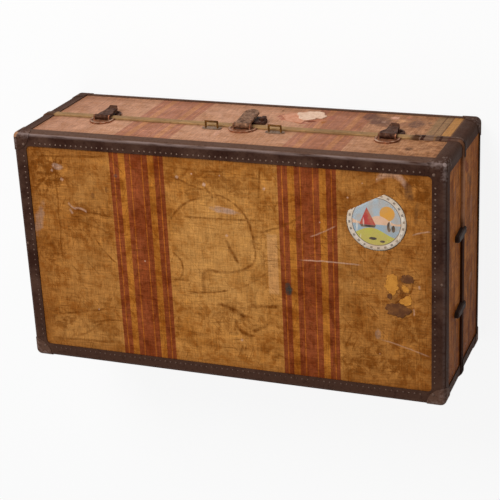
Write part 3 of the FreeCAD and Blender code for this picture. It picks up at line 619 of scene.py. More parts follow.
def hairs(g, flat):
    """Mask of short fine scratches in three directions, from noise drawn out along each."""
    masks = []
    for angle in (12.0, 68.0, 131.0):
        turned = g.node("ShaderNodeVectorRotate", rotation_type="Z_AXIS")
        g.feed(turned.inputs["Vector"], flat)
        g.feed(turned.inputs["Angle"], math.radians(angle))
        lines = g.drawn(turned.outputs[0], (0.055, 1.0, 1.0), 260.0, 2.0, 0.5, 0.3)
        masks.append(g.ease(lines, 0.63, 0.70))
    return g.largest(masks)


def lid_wear(g, base, flat, face, look, ragged, mottle, blotch):
    """Brown wear, dark scuffs, a pale strip, stains and scrapes on the lid; gives colour and scuffs."""
    worn = g.times(zones_mask(g, flat, LID_ZONES), g.ease(blotch, 0.56, 0.44), face, 0.9)
    base = g.mix(worn, base, look.scuff)
    wavy = g.wander(flat, 32.0, 0.008)
    dry = g.line(g.ease(g.noise(flat, 130.0, 4.0, 0.6), 0.34, 0.6), 0.4, 0.65)
    broken = g.line(g.ease(g.noise(flat, 30.0, 3.0), 0.38, 0.58), 0.5, 0.58)
    scuffs = g.times(strokes_mask(g, wavy, LID_SCUFFS), dry, broken, face)
    base = g.mix(scuffs, base, look.scuff)
    x, y, _ = g.split(flat)
    strip = g.times(g.between(x, *PALE_STRIP_RIGHT, 0.0012), g.between(y, *PALE_STRIP_DOWN, 0.003), face)
    base = g.mix(g.times(strip, 0.55), base, look.pale_strip)
    base = stained(g, base, flat, face, LID_STAINS, ragged, mottle)
    scrapes = g.times(strokes_mask(g, g.wander(flat, 60.0, 0.003), LID_SCRAPES), dry, face)
    return g.mix(g.times(scrapes, 0.9), base, look.scrape), scuffs


def lock_side_wear(g, base, flat, front, on_lid, ragged, mottle):
    """Stains on the lock side, one of them a painted shadow and one partly dirt and partly painted shadow;
    the side is duller towards both ends, with lines at one end of the base.
    """
    right, _, _ = g.split(flat)
    toward = g.times(front, g.ease(right, 0.12, 0.42))
    base = g.darker(toward, base, (0.88, 0.82, 0.66))
    base = g.darker(g.times(toward, g.ease(ragged, 0.44, 0.62)), base, (0.64, 0.56, 0.50))
    base = g.darker(g.times(front, g.ease(right, -0.2, -0.45)), base, (0.88, 0.84, 0.85))
    if not on_lid:
        share = g.times(g.minus(right, LINES_START), 1 / LINES_REACH)
        olive, dark, yellow = paint(138, 110, 78), paint(86, 60, 42), paint(182, 130, 70)
        stops = [(0.0, olive), (0.34, dark), (0.39, olive), (0.6, dark), (0.65, yellow), (0.97, dark)]
        lines = g.between(right, *LINED_PATCH, 0.004)
        base = g.mix(g.times(lines, front, 0.7), base, g.ramp(share, stops, "CONSTANT"))
    return stained(g, base, flat, front, LOCK_SIDE_STAINS_AND_SHADOWS, ragged, mottle)


def end_streaks(g, base, flat, end, cloud):
    """Ends darker towards the hinge side and in clouds, with streaks from noise drawn out along them."""
    toward_hinge, _, _ = g.split(flat)
    broad = g.drawn(flat, (0.12, 1.0, 1.0), 60.0, 4.0, 0.6)
    fine = g.drawn(flat, (0.07, 1.0, 1.0), 210.0, 3.0, 0.6)
    for value, low, high, shares in ((toward_hinge, 0.0, 0.22, (0.68, 0.60, 0.50)),
                                     (toward_hinge, -0.08, -0.18, (1.12, 1.14, 1.2)),
                                     (cloud, 0.42, 0.62, (0.66, 0.56, 0.44)),
                                     (broad, 0.44, 0.60, (0.62, 0.53, 0.42)),
                                     (fine, 0.53, 0.68, (0.66, 0.56, 0.46)),
                                     (fine, 0.46, 0.34, (1.22, 1.24, 1.22))):
        base = g.darker(g.times(end, g.ease(value, low, high)), base, shares)
    return base


def canvas_ground(g, x, look, side, end, bleached):
    """Ground of each face, with the stripe bands over all but the ends."""
    varnished = g.mix(bleached, look.ground, look.faded)
    ground = g.mix(end, g.mix(side, varnished, look.lock_side), look.ends)
    band, stripes = canvas_stripes(g, x, look)
    washed = g.mix(g.times(side, 0.5), stripes, look.washed)
    return g.mix(g.times(band, g.minus(1.0, end)), ground, washed)


def canvas_material(name, look, on_lid):
    """Varnished canvas: ochre with red and yellow bands, paler on the lock side, scuffed and stained."""
    material, g, shader = new_material(name)
    where = g.where()
    x, y, z = g.split(where)
    right = g.times(x, -1.0)
    up = g.times(z, -1.0)
    skin, turned = 0.0015, 0.003
    side = g.ease(g.absolute(y), CANVAS_BACK - turned, CANVAS_BACK - skin)
    front = g.times(side, g.math("LESS_THAN", y, 0.0))
    end = g.ease(g.absolute(x), CANVAS_END - turned, CANVAS_END - skin)
    face = g.minus(1.0, g.math("MAXIMUM", side, end))
    lid_flat = g.join(right, y, 0.0)
    front_flat = g.join(right, up, 0.0)
    end_flat = g.join(y, up, 0.0)
    flat = g.mix(side, g.mix(end, lid_flat, end_flat), front_flat)
    threads, slubs = g.call(weave_group(), flat, look.thread_pitch)
    cloud = g.noise(where, 10.0, 7.0, 0.7, 0.6)
    blotch = g.noise(where, 42.0, 6.0, 0.72, 0.5)
    grain = g.noise(where, 330.0, 2.0, 0.6)
    ragged = g.noise(where, 75.0, 4.0, 0.65)
    mottle = g.line(g.ease(g.noise(where, 150.0, 4.0, 0.7), 0.3, 0.62), 0.5, 0.5)

    bleached = g.times(zones_mask(g, lid_flat, LID_FADED), face)
    base = canvas_ground(g, x, look, side, end, bleached)
    plain = g.line(side, -0.55, g.line(bleached, -0.55, 1.0))
    base = g.darker(g.times(g.ease(cloud, 0.56, 0.36), plain, 0.8), base, (0.66, 0.53, 0.32))
    base = g.darker(g.times(g.ease(blotch, 0.54, 0.38), plain, 0.85), base, (0.64, 0.49, 0.28))
    base = g.darker(g.times(g.ease(blotch, 0.54, 0.68), plain), base, (1.24, 1.24, 1.16))
    outer_panels = g.times(face, g.ease(g.absolute(x), *OUTER_PANELS))
    base = g.darker(outer_panels, base, (0.83, 0.78, 0.74))
    edge = g.call(edge_group(), where)[0]
    grimy = g.times(g.ease(edge, LEG + EDGE_GRIME, LEG), g.ease(blotch, 0.35, 0.6))
    base = g.darker(g.times(grimy, 0.7), base, (0.6, 0.5, 0.4))
    base = end_streaks(g, base, end_flat, end, cloud)
    from_seam = g.absolute(g.minus(z, SEAM))
    seam = g.times(g.math("MAXIMUM", side, end), g.ease(from_seam, *SEAM_GRIME))
    base = g.darker(g.times(seam, g.ease(ragged, 0.35, 0.6), 0.8), base, (0.7, 0.64, 0.56))

    fine_scratches = g.times(hairs(g, flat), g.ease(cloud, 0.36, 0.6))
    scuffs = fine_scratches
    if on_lid:
        base, scuffs = lid_wear(g, base, lid_flat, face, look, ragged, mottle, blotch)
    base = g.mix(g.times(fine_scratches, plain, 0.65), base, look.scuff)
    base = lock_side_wear(g, base, front_flat, front, on_lid, ragged, mottle)
    base = stained(g, base, end_flat, end, END_STAINS, ragged, mottle)
    base = g.mix(g.times(specks(g, flat, 34.0, 0.07, 0.09), 0.6), base, look.scrape)
    base = g.mix(g.times(specks(g, flat, 42.0, 0.16, 0.085), 0.6), base, look.scuff)
    cloth = g.line(slubs, 1.9, g.line(grain, 0.7, -0.3))
    base = g.darker(1.0, base, g.join(cloth, cloth, cloth))

    height = g.line(threads, 0.35, g.line(scuffs, -0.8, slubs))
    rough = g.line(cloud, 0.25, g.line(grain, 0.2, 0.34))
    set_shader(g, shader, height, 0.4, 0.0006, Base_Color=base, Roughness=rough, Specular_IOR_Level=0.03)
    return material


def fibre_material(name, look, wear, dust, tan):
    """Dark fibre: polished pale with a painted highlight along the lid's edges, handled on the lock side,
    dusty on the hinge side.
    """
    material, g, shader = new_material(name)
    where = g.where()
    x, y, z = g.split(where)
    broad, fine, streaks = g.call(grime_group(), where, 16.0)
    edge = g.call(edge_group(), where)[0]
    near = g.ease(edge, look.edge, 0.0)
    dusty = g.times(g.ease(y, 0.02, 0.24), dust)
    lock_wall = g.ease(y, -0.2, -0.245)
    under_face = g.ease(z, TOP - 0.0008, TOP - 0.003)
    between_posts = g.line(g.ease(g.absolute(x), 0.442, 0.418), 0.5, 0.35)
    handled = g.times(lock_wall, under_face, between_posts)
    base = g.mix(g.largest([g.times(broad, 0.45), dusty, handled]), look.fibre, look.dusty)
    base = g.darker(g.ease(fine, 0.5, 0.72), base, (0.66, 0.64, 0.64))
    # Painted highlight, partly real polish: a pale streaked line on the lid's face along its edges, strongest
    # toward the lock side.
    toward_lock = g.line(g.ease(y, -0.2, -HALF_WIDTH), 0.75, 0.25)
    on_face = g.ease(z, TOP - 0.0045, TOP - 0.001)
    polish_and_highlight = g.times(near, g.ease(streaks, 0.30, 0.58), toward_lock, on_face)
    base = g.mix(g.times(polish_and_highlight, wear), base, look.rubbed)
    corner = g.vector("DISTANCE", where, (HALF_LENGTH, -HALF_WIDTH, TOP))
    ragged = g.line(g.noise(where, 130.0, 4.0, 0.6), 0.016, corner)
    base = g.mix(g.ease(ragged, 0.021, 0.017), base, look.torn)
    rubbed = g.times(g.ease(edge, 0.016, 0.004), g.ease(fine, 0.55, 0.38), tan)
    base = g.mix(rubbed, base, look.rubbed)
    # A small pale spot at the lid's top corner where the lock side meets the clamped end.
    pale_corner_spot = g.vector("DISTANCE", where, (0.003 - HALF_LENGTH, 0.003 - HALF_WIDTH, TOP - 0.002))
    base = g.mix(g.ease(pale_corner_spot, 0.0055, 0.0035), base, look.rubbed)
    rough = g.line(broad, 0.16, g.line(fine, 0.2, 0.42))
    height = g.math("ADD", fine, g.times(streaks, 0.6))
    set_shader(g, shader, height, 0.22, 0.0005, Base_Color=base, Roughness=rough, Specular_IOR_Level=0.015)
    return material


def board_material():
    """Bare basswood with its grain along X."""
    material, g, shader = new_material("Basswood")
    where = g.where()
    grain = g.drawn(where, (0.06, 1.0, 1.0), 240.0, 4.0, 0.6)
    base = g.ramp(grain, [(0.3, paint(150, 112, 72)), (0.7, paint(196, 160, 114))])
    set_shader(g, shader, grain, 0.12, Base_Color=base, Roughness=g.line(grain, 0.2, 0.55))
    return material


def lining_material():
    """Pasted cream cloth with fine threads, foxed and water stained."""
    material, g, shader = new_material("Lining")
    where = g.where()
    x, y, z = g.split(where)
    flat = g.join(g.math("ADD", x, y), g.math("ADD", y, z), 0.0)
    threads, slubs = g.call(weave_group(), flat, 0.0016)
    broad, fine, _ = g.call(grime_group(), where, 6.0)
    base = g.mix(broad, paint(206, 188, 152), paint(172, 146, 106))
    base = g.darker(g.ease(slubs, 0.35, 0.7), base, (1.08, 1.08, 1.06))
    base = g.mix(g.times(specks(g, flat, 38.0, 0.12, 0.08), 0.5), base, paint(132, 92, 54))
    set_shader(g, shader, threads, 0.25, Base_Color=base, Roughness=g.line(fine, 0.15, 0.75))
    return material


def plated_material(name, bright, dull, rust, scale, low_rough, rim=None, metal=0.35):
    """Old plated metal with rusty blotches, dark lumps, pits and painted glints; a raised rim gets a painted
    highlight in its own colour.
    """
    material, g, shader = new_material(name)
    where = g.where()
    broad, fine, streaks = g.call(grime_group(), where, scale)
    mask = g.times(broad, rust)
    pits = g.times(g.ease(fine, 0.46, 0.64), 0.6)
    rusty = g.math("MAXIMUM", mask, g.times(pits, rust))
    base = g.mix(rusty, bright, dull)
    base = g.darker(g.ease(streaks, 0.5, 0.7), base, (0.8, 0.78, 0.75))
    lumps = g.noise(where, 230.0, 3.0, 0.6)
    base = g.darker(g.times(g.ease(lumps, 0.47, 0.36), rust), base, (0.5, 0.42, 0.36))
    # Painted glints: bright specks where the lump noise is high.
    base = g.darker(g.times(g.ease(lumps, 0.54, 0.66), rust), base, (1.9, 1.8, 1.7))
    # Painted highlight on the raised rim, broken by noise.
    if rim:
        raised = g.between(g.split(where)[1], RIM_FRONT - 0.0002, RIM_FRONT + 0.0006, 0.0002)
        base = g.mix(g.times(raised, g.ease(g.noise(where, 110.0, 2.0), 0.46, 0.60)), base, rim)
    metallic = g.line(rusty, -0.8 * metal, metal)
    rough = g.line(rusty, 0.35, g.line(fine, 0.15, low_rough))
    set_shader(g, shader, g.line(rusty, 0.8, fine), 0.35, 0.0004,
               Base_Color=base, Metallic=metallic, Roughness=rough, Specular_IOR_Level=0.1)
    return material


def clamp_painted_relief(g, where):
    """Bands of colour along the clamped end of the strips, by the place along -X: pale painted highlights on
    the lumps, maroon painted shade beside them and in a gap, and the lapped corner.
    """
    sway = g.line(g.noise(where, 160.0), 0.006, -0.003)
    place_along = g.minus(sway, g.split(where)[0])
    start, reach = 0.362, 0.096
    share = g.math("DIVIDE", g.minus(place_along, start), reach)
    pale, grey, maroon = paint(126, 97, 80), paint(98, 71, 56), paint(64, 38, 30)
    umber, straw, plum = paint(84, 56, 38), paint(134, 98, 66), paint(86, 54, 46)
    drab, dark = paint(92, 66, 54), paint(50, 32, 25)
    bands = ((start, umber), (0.371, pale), (0.374, maroon), (0.381, pale), (0.399, straw), (0.403, grey),
             (0.411, maroon), (0.415, grey), (0.427, plum), (0.432, drab), (0.456, dark))
    return g.ramp(share, [((at - start) / reach, tone) for at, tone in bands], "CONSTANT")


def clamp_material():
    """Browned steel clamps with painted highlights on lumps and painted shade in gaps."""
    material, g, shader = new_material("Clamp steel")
    where = g.where()
    broad, fine, _ = g.call(grime_group(), where, 60.0)
    base = g.darker(g.times(broad, 0.6), clamp_painted_relief(g, where), (0.7, 0.62, 0.56))
    base = g.darker(g.ease(fine, 0.48, 0.66), base, (0.72, 0.66, 0.62))
    set_shader(g, shader, fine, 0.35, 0.0004, Base_Color=base, Metallic=0.04,
               Roughness=g.line(fine, 0.2, 0.5), Specular_IOR_Level=0.04)
    return material


def strip_material(look):
    """Dull brass moulding, browned at the clamps and along the ends, with painted shade past a guide, and
    dark over one post.
    """
    material, g, shader = new_material("Closing strip brass")
    where = g.where()
    x, y, _ = g.split(where)
    broad, fine, streaks = g.call(grime_group(), where, 14.0)
    clamped = g.ease(x, CLAMP_STOP + 0.012, CLAMP_STOP - 0.004)
    on_end = g.ease(g.absolute(x), HALF_LENGTH - 0.012, HALF_LENGTH)
    past_guide = g.ease(y, -0.11, -0.06)
    near_corner = g.ease(g.absolute(y), 0.19, 0.235)
    tarnish = g.largest([g.times(broad, 0.4), clamped, on_end])
    base = g.mix(tarnish, look.strip, look.strip_dark)
    over_post = g.ease(x, HALF_LENGTH - LEG - 0.002, HALF_LENGTH - LEG + 0.003)
    base = g.darker(over_post, base, (0.24, 0.18, 0.18))
    # Painted highlights and shade of the clamps' lumps on the clamped end of the strips.
    base = g.mix(clamped, base, clamp_painted_relief(g, where))
    # Painted shade on the strips along the ends past the first guide, toward the hinge side.
    base = g.mix(on_end, base, g.mix(past_guide, look.strip_end, look.strip_painted_shade))
    base = g.darker(g.times(on_end, near_corner), base, (0.42, 0.38, 0.34))
    base = g.darker(g.ease(streaks, 0.48, 0.7), base, (0.76, 0.72, 0.66))
    base = g.darker(g.ease(fine, 0.5, 0.7), base, (0.82, 0.78, 0.72))
    metallic = g.line(tarnish, -0.2, 0.2)
    rough = g.line(tarnish, 0.2, g.line(fine, 0.15, 0.45))
    set_shader(g, shader, fine, 0.2, 0.0004, Base_Color=base, Metallic=metallic, Roughness=rough,
               Specular_IOR_Level=0.04)
    return material


def nail_material(look):
    """Nail and rivet heads, browner away from the lock side, each rusty by its own age."""
    material, g, shader = new_material("Nail heads")
    age = g.node("ShaderNodeAttribute", attribute_name="age").outputs["Fac"]
    where = g.where()
    _, y, _ = g.split(where)
    fine = g.call(grime_group(), where, 40.0)[1]
    away = g.times(g.ease(y, -0.23, 0.12), 0.5)
    rusty = g.math("ADD", away, g.ease(g.line(fine, 0.3, age), 0.5, 2.0))
    base = g.mix(rusty, look.head, look.rust)
    set_shader(g, shader, fine, 0.2, 0.0003, Base_Color=base, Metallic=g.line(rusty, -0.2, 0.25),
               Roughness=g.line(rusty, 0.25, 0.45), Specular_IOR_Level=0.18)
    return material


def inside(g, x, y, *lines):
    """Mask of the area on the inner side of straight lines, each given as (a, b, c) with a x + b y < c."""
    masks = []
    for a, b, c in lines:
        masks.append(g.ease(g.line(x, a, g.times(y, b)), c + 0.012, c - 0.012))
    return g.times(*masks)


def disc(g, x, y, centre, half_x, half_y):
    """Mask of an upright ellipse."""
    u = g.math("DIVIDE", g.minus(x, centre[0]), half_x)
    v = g.math("DIVIDE", g.minus(y, centre[1]), half_y)
    return g.ease(g.hypot(u, v), 1.05, 0.95)


def label_picture(g, x, y):
    """A sun over peach hills, a red sail on grey water and a yellow-green shore with dark bushes."""
    base = paint(168, 178, 184)
    base = g.mix(disc(g, x, y, (0.36, 0.30), 0.25, 0.25), base, paint(214, 152, 66))
    ridge = g.line(g.math("SINE", g.line(x, 5.2, 1.2)), 0.12, 0.10)
    base = g.mix(g.ease(g.minus(ridge, y), 0.0, 0.02), base, paint(222, 180, 150))
    base = g.mix(g.ease(y, -0.08, -0.1), base, paint(150, 168, 178))
    sail = inside(g, x, y, (0.0, -1.0, 0.12), (-1.0, 0.42, 0.52), (1.0, 0.5, -0.08))
    base = g.mix(sail, base, paint(176, 62, 60))
    hull = inside(g, x, y, (0.0, -1.0, 0.2), (0.0, 1.0, -0.12), (-1.0, -0.6, 0.62), (1.0, -0.6, 0.06))
    base = g.mix(hull, base, paint(48, 44, 46))
    shore = g.line(g.math("SINE", g.line(x, 3.4, 2.2)), 0.16, -0.36)
    base = g.mix(g.ease(g.minus(shore, y), 0.0, 0.02), base, paint(186, 176, 84))
    bushes = (((0.42, -0.14), 0.07, 0.17), ((0.56, -0.2), 0.06, 0.12), ((-0.12, -0.58), 0.13, 0.05),
              ((0.2, -0.66), 0.09, 0.04))
    for centre, wide, tall in bushes:
        base = g.mix(disc(g, x, y, centre, wide, tall), base, paint(50, 48, 50))
    return base


def label_material(sizes):
    """Printed paper: a landscape inside a dirty white rim with a dark outline and a ring of ticks."""
    material, g, shader = new_material("Round label")
    where = g.where()
    away = g.vector("SUBTRACT", where, tuple(sizes.centre))
    x, y, _ = g.split(g.vector("DIVIDE", away, (-sizes.radius, -sizes.radius, sizes.radius)))
    radius = g.hypot(x, y)
    base = g.mix(g.ease(radius, 0.80, 0.815), label_picture(g, x, y), paint(212, 196, 178))
    base = g.mix(g.between(radius, 0.80, 0.822, 0.008), base, paint(92, 82, 80))
    turn = g.times(g.math("ARCTAN2", y, x), 24.0)
    ticks = g.times(g.between(radius, 0.865, 0.935, 0.012), g.ease(g.math("SINE", turn), 0.2, 0.6))
    base = g.mix(g.times(ticks, 0.75), base, paint(78, 70, 72))
    base = g.mix(g.ease(radius, 0.972, 0.985), base, paint(74, 60, 50))
    broad, fine, _ = g.call(grime_group(), where, 60.0)
    base = g.mix(g.times(broad, 0.4), base, paint(186, 148, 106))
    base = g.darker(g.ease(fine, 0.5, 0.7), base, (0.86, 0.83, 0.8))
    creases = g.drawn(where, (1.0, 0.2, 1.0), 120.0, 2.0)
    base = g.mix(g.times(g.ease(creases, 0.64, 0.7), 0.5), base, paint(232, 222, 208))
    set_shader(g, shader, fine, 0.1, 0.0002, Base_Color=base, Roughness=g.line(fine, 0.2, 0.5),
               Specular_IOR_Level=0.14)
    return material


def paper_material(name, shade, stain):
    """Old paper or glue, blotched with stain."""
    material, g, shader = new_material(name)
    where = g.where()
    broad, fine, _ = g.call(grime_group(), where, 90.0)
    base = g.mix(g.times(broad, 0.7), shade, stain)
    base = g.darker(g.ease(fine, 0.46, 0.66), base, (0.74, 0.7, 0.64))
    set_shader(g, shader, fine, 0.3, 0.0003, Base_Color=base, Roughness=g.line(fine, 0.2, 0.6),
               Specular_IOR_Level=0.1)
    return material


def dress(material, *nodes):
    """Give CAD nodes a material."""
    for node in nodes:
        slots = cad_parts[node].data.materials
        slots.clear()
        slots.append(material)


def linked(name, data):
    """New object in the scene that shows the data."""
    made = bpy.data.objects.new(name, data)
    bpy.context.scene.collection.objects.link(made)
    return made


def mesh_piece(name, vertices, faces, body, material, slot=None):
    """New piece from arrays, smooth, riding on a body."""
    mesh = bpy.data.meshes.new(name)
    mesh.from_pydata(np.asarray(vertices).tolist(), [], faces)
    mesh.shade_smooth()
    mesh.materials.append(material)
    piece = linked(name, mesh)
    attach(piece, body)
    return piece


def capped(rings, pole):
    """Closed surface: one face under the first ring of points, quads up to the last, a fan to the pole."""
    count, sides = rings.shape[:2]
    ring, side = np.meshgrid(np.arange(count - 1), np.arange(sides), indexing="ij")
    after = (side + 1) % sides
    quads = np.stack([ring * sides + side, ring * sides + after, (ring + 1) * sides + after,
                      (ring + 1) * sides + side], axis=-1).reshape(-1, 4)
    last = (count - 1) * sides
    start = np.arange(sides)
    fan = np.stack([last + start, last + (start + 1) % sides, np.full(sides, count * sides)], axis=-1)
    faces = [tuple(range(sides))[::-1], *map(tuple, quads.tolist()), *map(tuple, fan.tolist())]
    return np.vstack([rings.reshape(-1, 3), pole]), faces


def dome(radius, height, sides, rings):
    """Domed head about Z: r = radius cos t and z = height sin t for t from 0 to a quarter turn."""
    t = np.linspace(0.0, math.pi / 2, rings + 1)[:-1, None]
    turn = np.linspace(0.0, math.tau, sides, endpoint=False)
    z = np.broadcast_to(height * np.sin(t), (rings, sides))
    ringed = np.stack([radius * np.cos(t) * np.cos(turn), radius * np.cos(t) * np.sin(turn), z], axis=-1)
    return capped(ringed, [0.0, 0.0, height])


def stamp(shape, places, normals, scales):
    """Copies of a shape about Z, set at places with its Z along each normal."""
    vertices, faces = shape
    normals = np.asarray(normals, float)
    helper = np.where(np.abs(normals[:, 2:]) > 0.9, [[1.0, 0.0, 0.0]], [[0.0, 0.0, 1.0]])
    first = np.cross(helper, normals)
    first /= np.linalg.norm(first, axis=1, keepdims=True)
    second = np.cross(normals, first)
    axes = np.stack([first, second, normals], axis=1)
    sized = vertices[None] * np.asarray(scales)[:, None, None]
    spread = np.einsum("nvi,nij->nvj", sized, axes) + np.asarray(places)[:, None]
    count = len(vertices)
    copies = [tuple(count * n + i for i in face) for n in range(len(places)) for face in faces]
    return spread.reshape(-1, 3), copies


def nail_ring(sizes, rng):
    """Places of the nails round one big face: four rows inside the binding, clear of the corner caps."""
    clear, uneven_along, uneven_across, lost = 0.022, 0.0003, 0.0002, 0.006
    half_x, half_y = HALF_LENGTH - sizes.inset, HALF_WIDTH - sizes.inset
    rows = []
    for along, across, flip in ((half_x, half_y, False), (half_y, half_x, True)):
        count = round(2 * along / sizes.pitch)
        t = (np.arange(count) + 0.5) / count * 2 * along - along
        t = t[np.abs(t) < along - clear]
        for sign in (-1, 1):
            place_along = t + rng.normal(0.0, uneven_along, len(t))
            off = sign * across + rng.normal(0.0, uneven_across, len(t))
            rows.append(np.column_stack([off, place_along] if flip else [place_along, off]))
    rows = np.vstack(rows)
    return rows[rng.random(len(rows)) > lost]


def headed_pieces(name, shape, places, normals, body, material, rng, slot):
    """Piece made of many heads, each with its own age for the material to read."""
    uneven = 0.05
    scales = 1.0 + rng.normal(0.0, uneven, len(places))
    vertices, faces = stamp(shape, places, normals, scales)
    piece = mesh_piece(name, vertices, faces, body, material, slot)
    ages = np.repeat(rng.random(len(places)), len(shape[0])).astype(np.float32)
    piece.data.attributes.new("age", "FLOAT", "POINT").data.foreach_set("value", ages)
    return piece


def paper_sheet(name, centre, axes, reach, lift, thickness, body, material):
    """Closed sheet on a wall: share * reach(turn) about its centre along two axes, raised by its lift."""
    turn = np.linspace(0.0, math.tau, len(reach), endpoint=False)
    share = np.linspace(1.0, 0.0, 11)[:-1, None]
    flat = 0.8
    curl = np.clip(share - flat, 0.0, 1.0) / (1.0 - flat)
    raised = thickness + lift * curl * (1.0 + np.sin(3 * turn + 1.0)) / 2
    outline = np.stack([reach * np.cos(turn), reach * np.sin(turn), np.zeros(len(turn))], axis=-1)
    top = np.stack([share * outline[:, 0], share * outline[:, 1], raised], axis=-1)
    across, along = (np.array(axis, float) for axis in axes)
    turned = np.stack([across, along, np.cross(across, along)])
    rings = np.concatenate([outline[None], top]) @ turned + np.array(centre)
    return mesh_piece(name, *capped(rings, np.array(centre) + thickness * turned[2]), body, material)


def torn_reach(points, signs, rough, rng, count=96):
    """Middle and outline of a scrap: how far its points, in millimetres, lie from the middle."""
    corners = np.array(points, float) * signs * MM
    centre = corners.mean(axis=0)
    away = corners - centre
    turn = np.linspace(0.0, math.tau, count, endpoint=False)
    reach = np.interp(turn, np.arctan2(away[:, 1], away[:, 0]), np.hypot(*away.T), period=math.tau)
    waves = np.arange(5, 17)[:, None]
    begin = rng.uniform(0.0, math.tau, waves.shape)
    height = rng.normal(0.0, rough, waves.shape)
    sway = np.sin(waves * turn + begin) * height / waves ** 0.5
    return centre, reach * np.clip(1.0 + sway.sum(axis=0), 0.75, 1.25)


def cap_rivets():
    """Places and normals of the rivets in the corner caps, and of one in the binding of each end."""
    heads = {"lid": [], "base": []}
    inset, along, down = 0.024, 0.012, 0.027
    end_inset, end_off = 0.008, -0.008
    for sx in (-1, 1):
        for sy in (-1, 1):
            heads["lid"].append(((sx * (HALF_LENGTH - inset), sy * (HALF_WIDTH - inset), CAP_TOP), (0, 0, 1)))
            for half, level in (("lid", TOP - down), ("base", down)):
                heads[half].append(((sx * (HALF_LENGTH - along), sy * CAP_BACK, level), (0, sy, 0)))
                heads[half].append(((sx * CAP_END, sy * (HALF_WIDTH - along), level), (sx, 0, 0)))
    for sx in (-1, 1):
        heads["lid"].append(((sx * (HALF_LENGTH - end_inset), end_off, TOP), (0, 0, 1)))
    return heads


def fitting_rivets():
    """Places and normals of the small rivets in the plates, hinge leaves, loop plates and clamps."""
    heads = {"lid": [], "base": []}
    front, back = (0, -1, 0), (0, 1, 0)
    plate_off, plate_up = 0.015, 0.032
    keeper_off, keeper_down = 0.0175, 0.027
    lock_off, lock_up = 0.020, 0.029
    loop_off, loop_up = 0.018, 0.022
    case_off, case_down = -0.026, 0.0185
    leaf_rivets = ((-0.023, 0.022), (0.0, 0.033), (0.023, 0.022))
    clamp_inset, clamp_pitch, clamp_count, clamp_side = 0.009, 0.025, 4, 0.238
    for x in CATCHES:
        for sx in (-1, 1):
            heads["lid"].append(((x + sx * plate_off, LOOP_SEAT, SEAM + plate_up), front))
            heads["base"].append(((x + sx * keeper_off, LOOP_SEAT, SEAM - keeper_down), front))
    for sx in (-1, 1):
        heads["lid"].append(((LOCK + sx * lock_off, LOOP_SEAT, SEAM + lock_up), front))
        for x in LOOPS:
            heads["lid"].append(((x + sx * loop_off, LOOP_SEAT, SEAM + loop_up), front))
    heads["base"].append(((LOCK + case_off, CASE_FRONT, SEAM - case_down), front))
    for x in HINGES:
        for off, drop in leaf_rivets:
            heads["lid"].append(((x + off, LEAF_BACK, SEAM + drop), back))
            heads["base"].append(((x + off, LEAF_BACK, SEAM - drop), back))
    middle = (CLAMP_LOW + CLAMP_HIGH) / 2
    for sy in (-1, 1):
        for step in range(clamp_count):
            x = CLAMP_STOP - clamp_inset - clamp_pitch * step
            heads["base"].append(((x, -sy * CLAMP_FRONT, middle), (0, sy, 0)))
        heads["base"].append(((CLAMP_END, sy * clamp_side, middle), (-1, 0, 0)))
    return heads


def strip_pins():
    """Places and normals of the pins in the closing strips of the lock and hinge sides."""
    first, last, count = -0.35, 0.43, 9
    heads = {"lid": [], "base": []}
    for half, level in (("lid", (SEAM + STRIP_HIGH) / 2), ("base", (SEAM + STRIP_LOW) / 2)):
        for sy in (-1, 1):
            for x in np.linspace(first, last, count):
                heads[half].append(((x, sy * STRIP_BACK, level), (0, sy, 0)))
    return heads


def seen_rays(graph):
    """1 for rays that show the stage as a background: from the camera, in metal and through glass."""
    rays = graph.node("ShaderNodeLightPath").outputs
    return graph.largest([rays["Is Camera Ray"], rays["Is Glossy Ray"], rays["Is Transmission Ray"]])


def stage_floor():
    """Wide pale floor, mostly white to the camera so that it keeps a soft shadow."""
    reach, white_share = 30.0, 0.88
    corners = [(-reach, -reach, 0.0), (reach, -reach, 0.0), (reach, reach, 0.0), (-reach, reach, 0.0)]
    mesh = bpy.data.meshes.new("floor")
    mesh.from_pydata(corners, [], [(0, 1, 2, 3)])
    floor = linked("floor", mesh)
    material = bpy.data.materials.new("Pale floor")
    g = cleared(material)
    lit = g.node("ShaderNodeBsdfDiffuse")
    g.feed(lit.inputs["Color"], (0.86, 0.86, 0.86))
    white = g.node("ShaderNodeEmission")
    blend = g.node("ShaderNodeMixShader")
    g.filled(blend, (g.times(seen_rays(g), white_share), lit.outputs[0], white.outputs[0]))
    g.feed(g.node("ShaderNodeOutputMaterial").inputs["Surface"], blend.outputs[0])
    mesh.materials.append(material)


def stage_world(look):
    """White surroundings that light the trunk at the room's strength."""
    world = bpy.data.worlds.new("Room")
    g = cleared(world)
    sky = g.node("ShaderNodeBackground")
    g.feed(sky.inputs["Color"], (1.0, 1.0, 1.0))
    g.feed(sky.inputs["Strength"], g.line(seen_rays(g), 1.0 - look.room, look.room))
    g.feed(g.node("ShaderNodeOutputWorld").inputs["Surface"], sky.outputs[0])
    bpy.context.scene.world = world


def stage_lamp(name, where, size, power):
    """Square area lamp aimed at the middle of the trunk."""
    lamp = bpy.data.lights.new(name, "AREA")
    lamp.size = size
    lamp.energy = power
    holder = linked(name, lamp)
    holder.location = where
    toward = Vector((0.0, 0.0, TOP / 2)) - Vector(where)
    holder.rotation_euler = toward.to_track_quat("-Z", "Y").to_euler()


def stage_camera(look):
    """Camera at its place, facing the aim and rolled so that picture_up is upwards."""
    camera = bpy.data.cameras.new("Camera")
    camera.lens = look.lens
    camera.sensor_width = look.sensor
    holder = linked("Camera", camera)
    back = (Vector(look.camera) - Vector(look.aim)).normalized()
    side = Vector(look.picture_up).cross(back).normalized()
    turned = Matrix((side, back.cross(side), back)).transposed()
    holder.matrix_world = Matrix.Translation(look.camera) @ turned.to_4x4()
    return holder


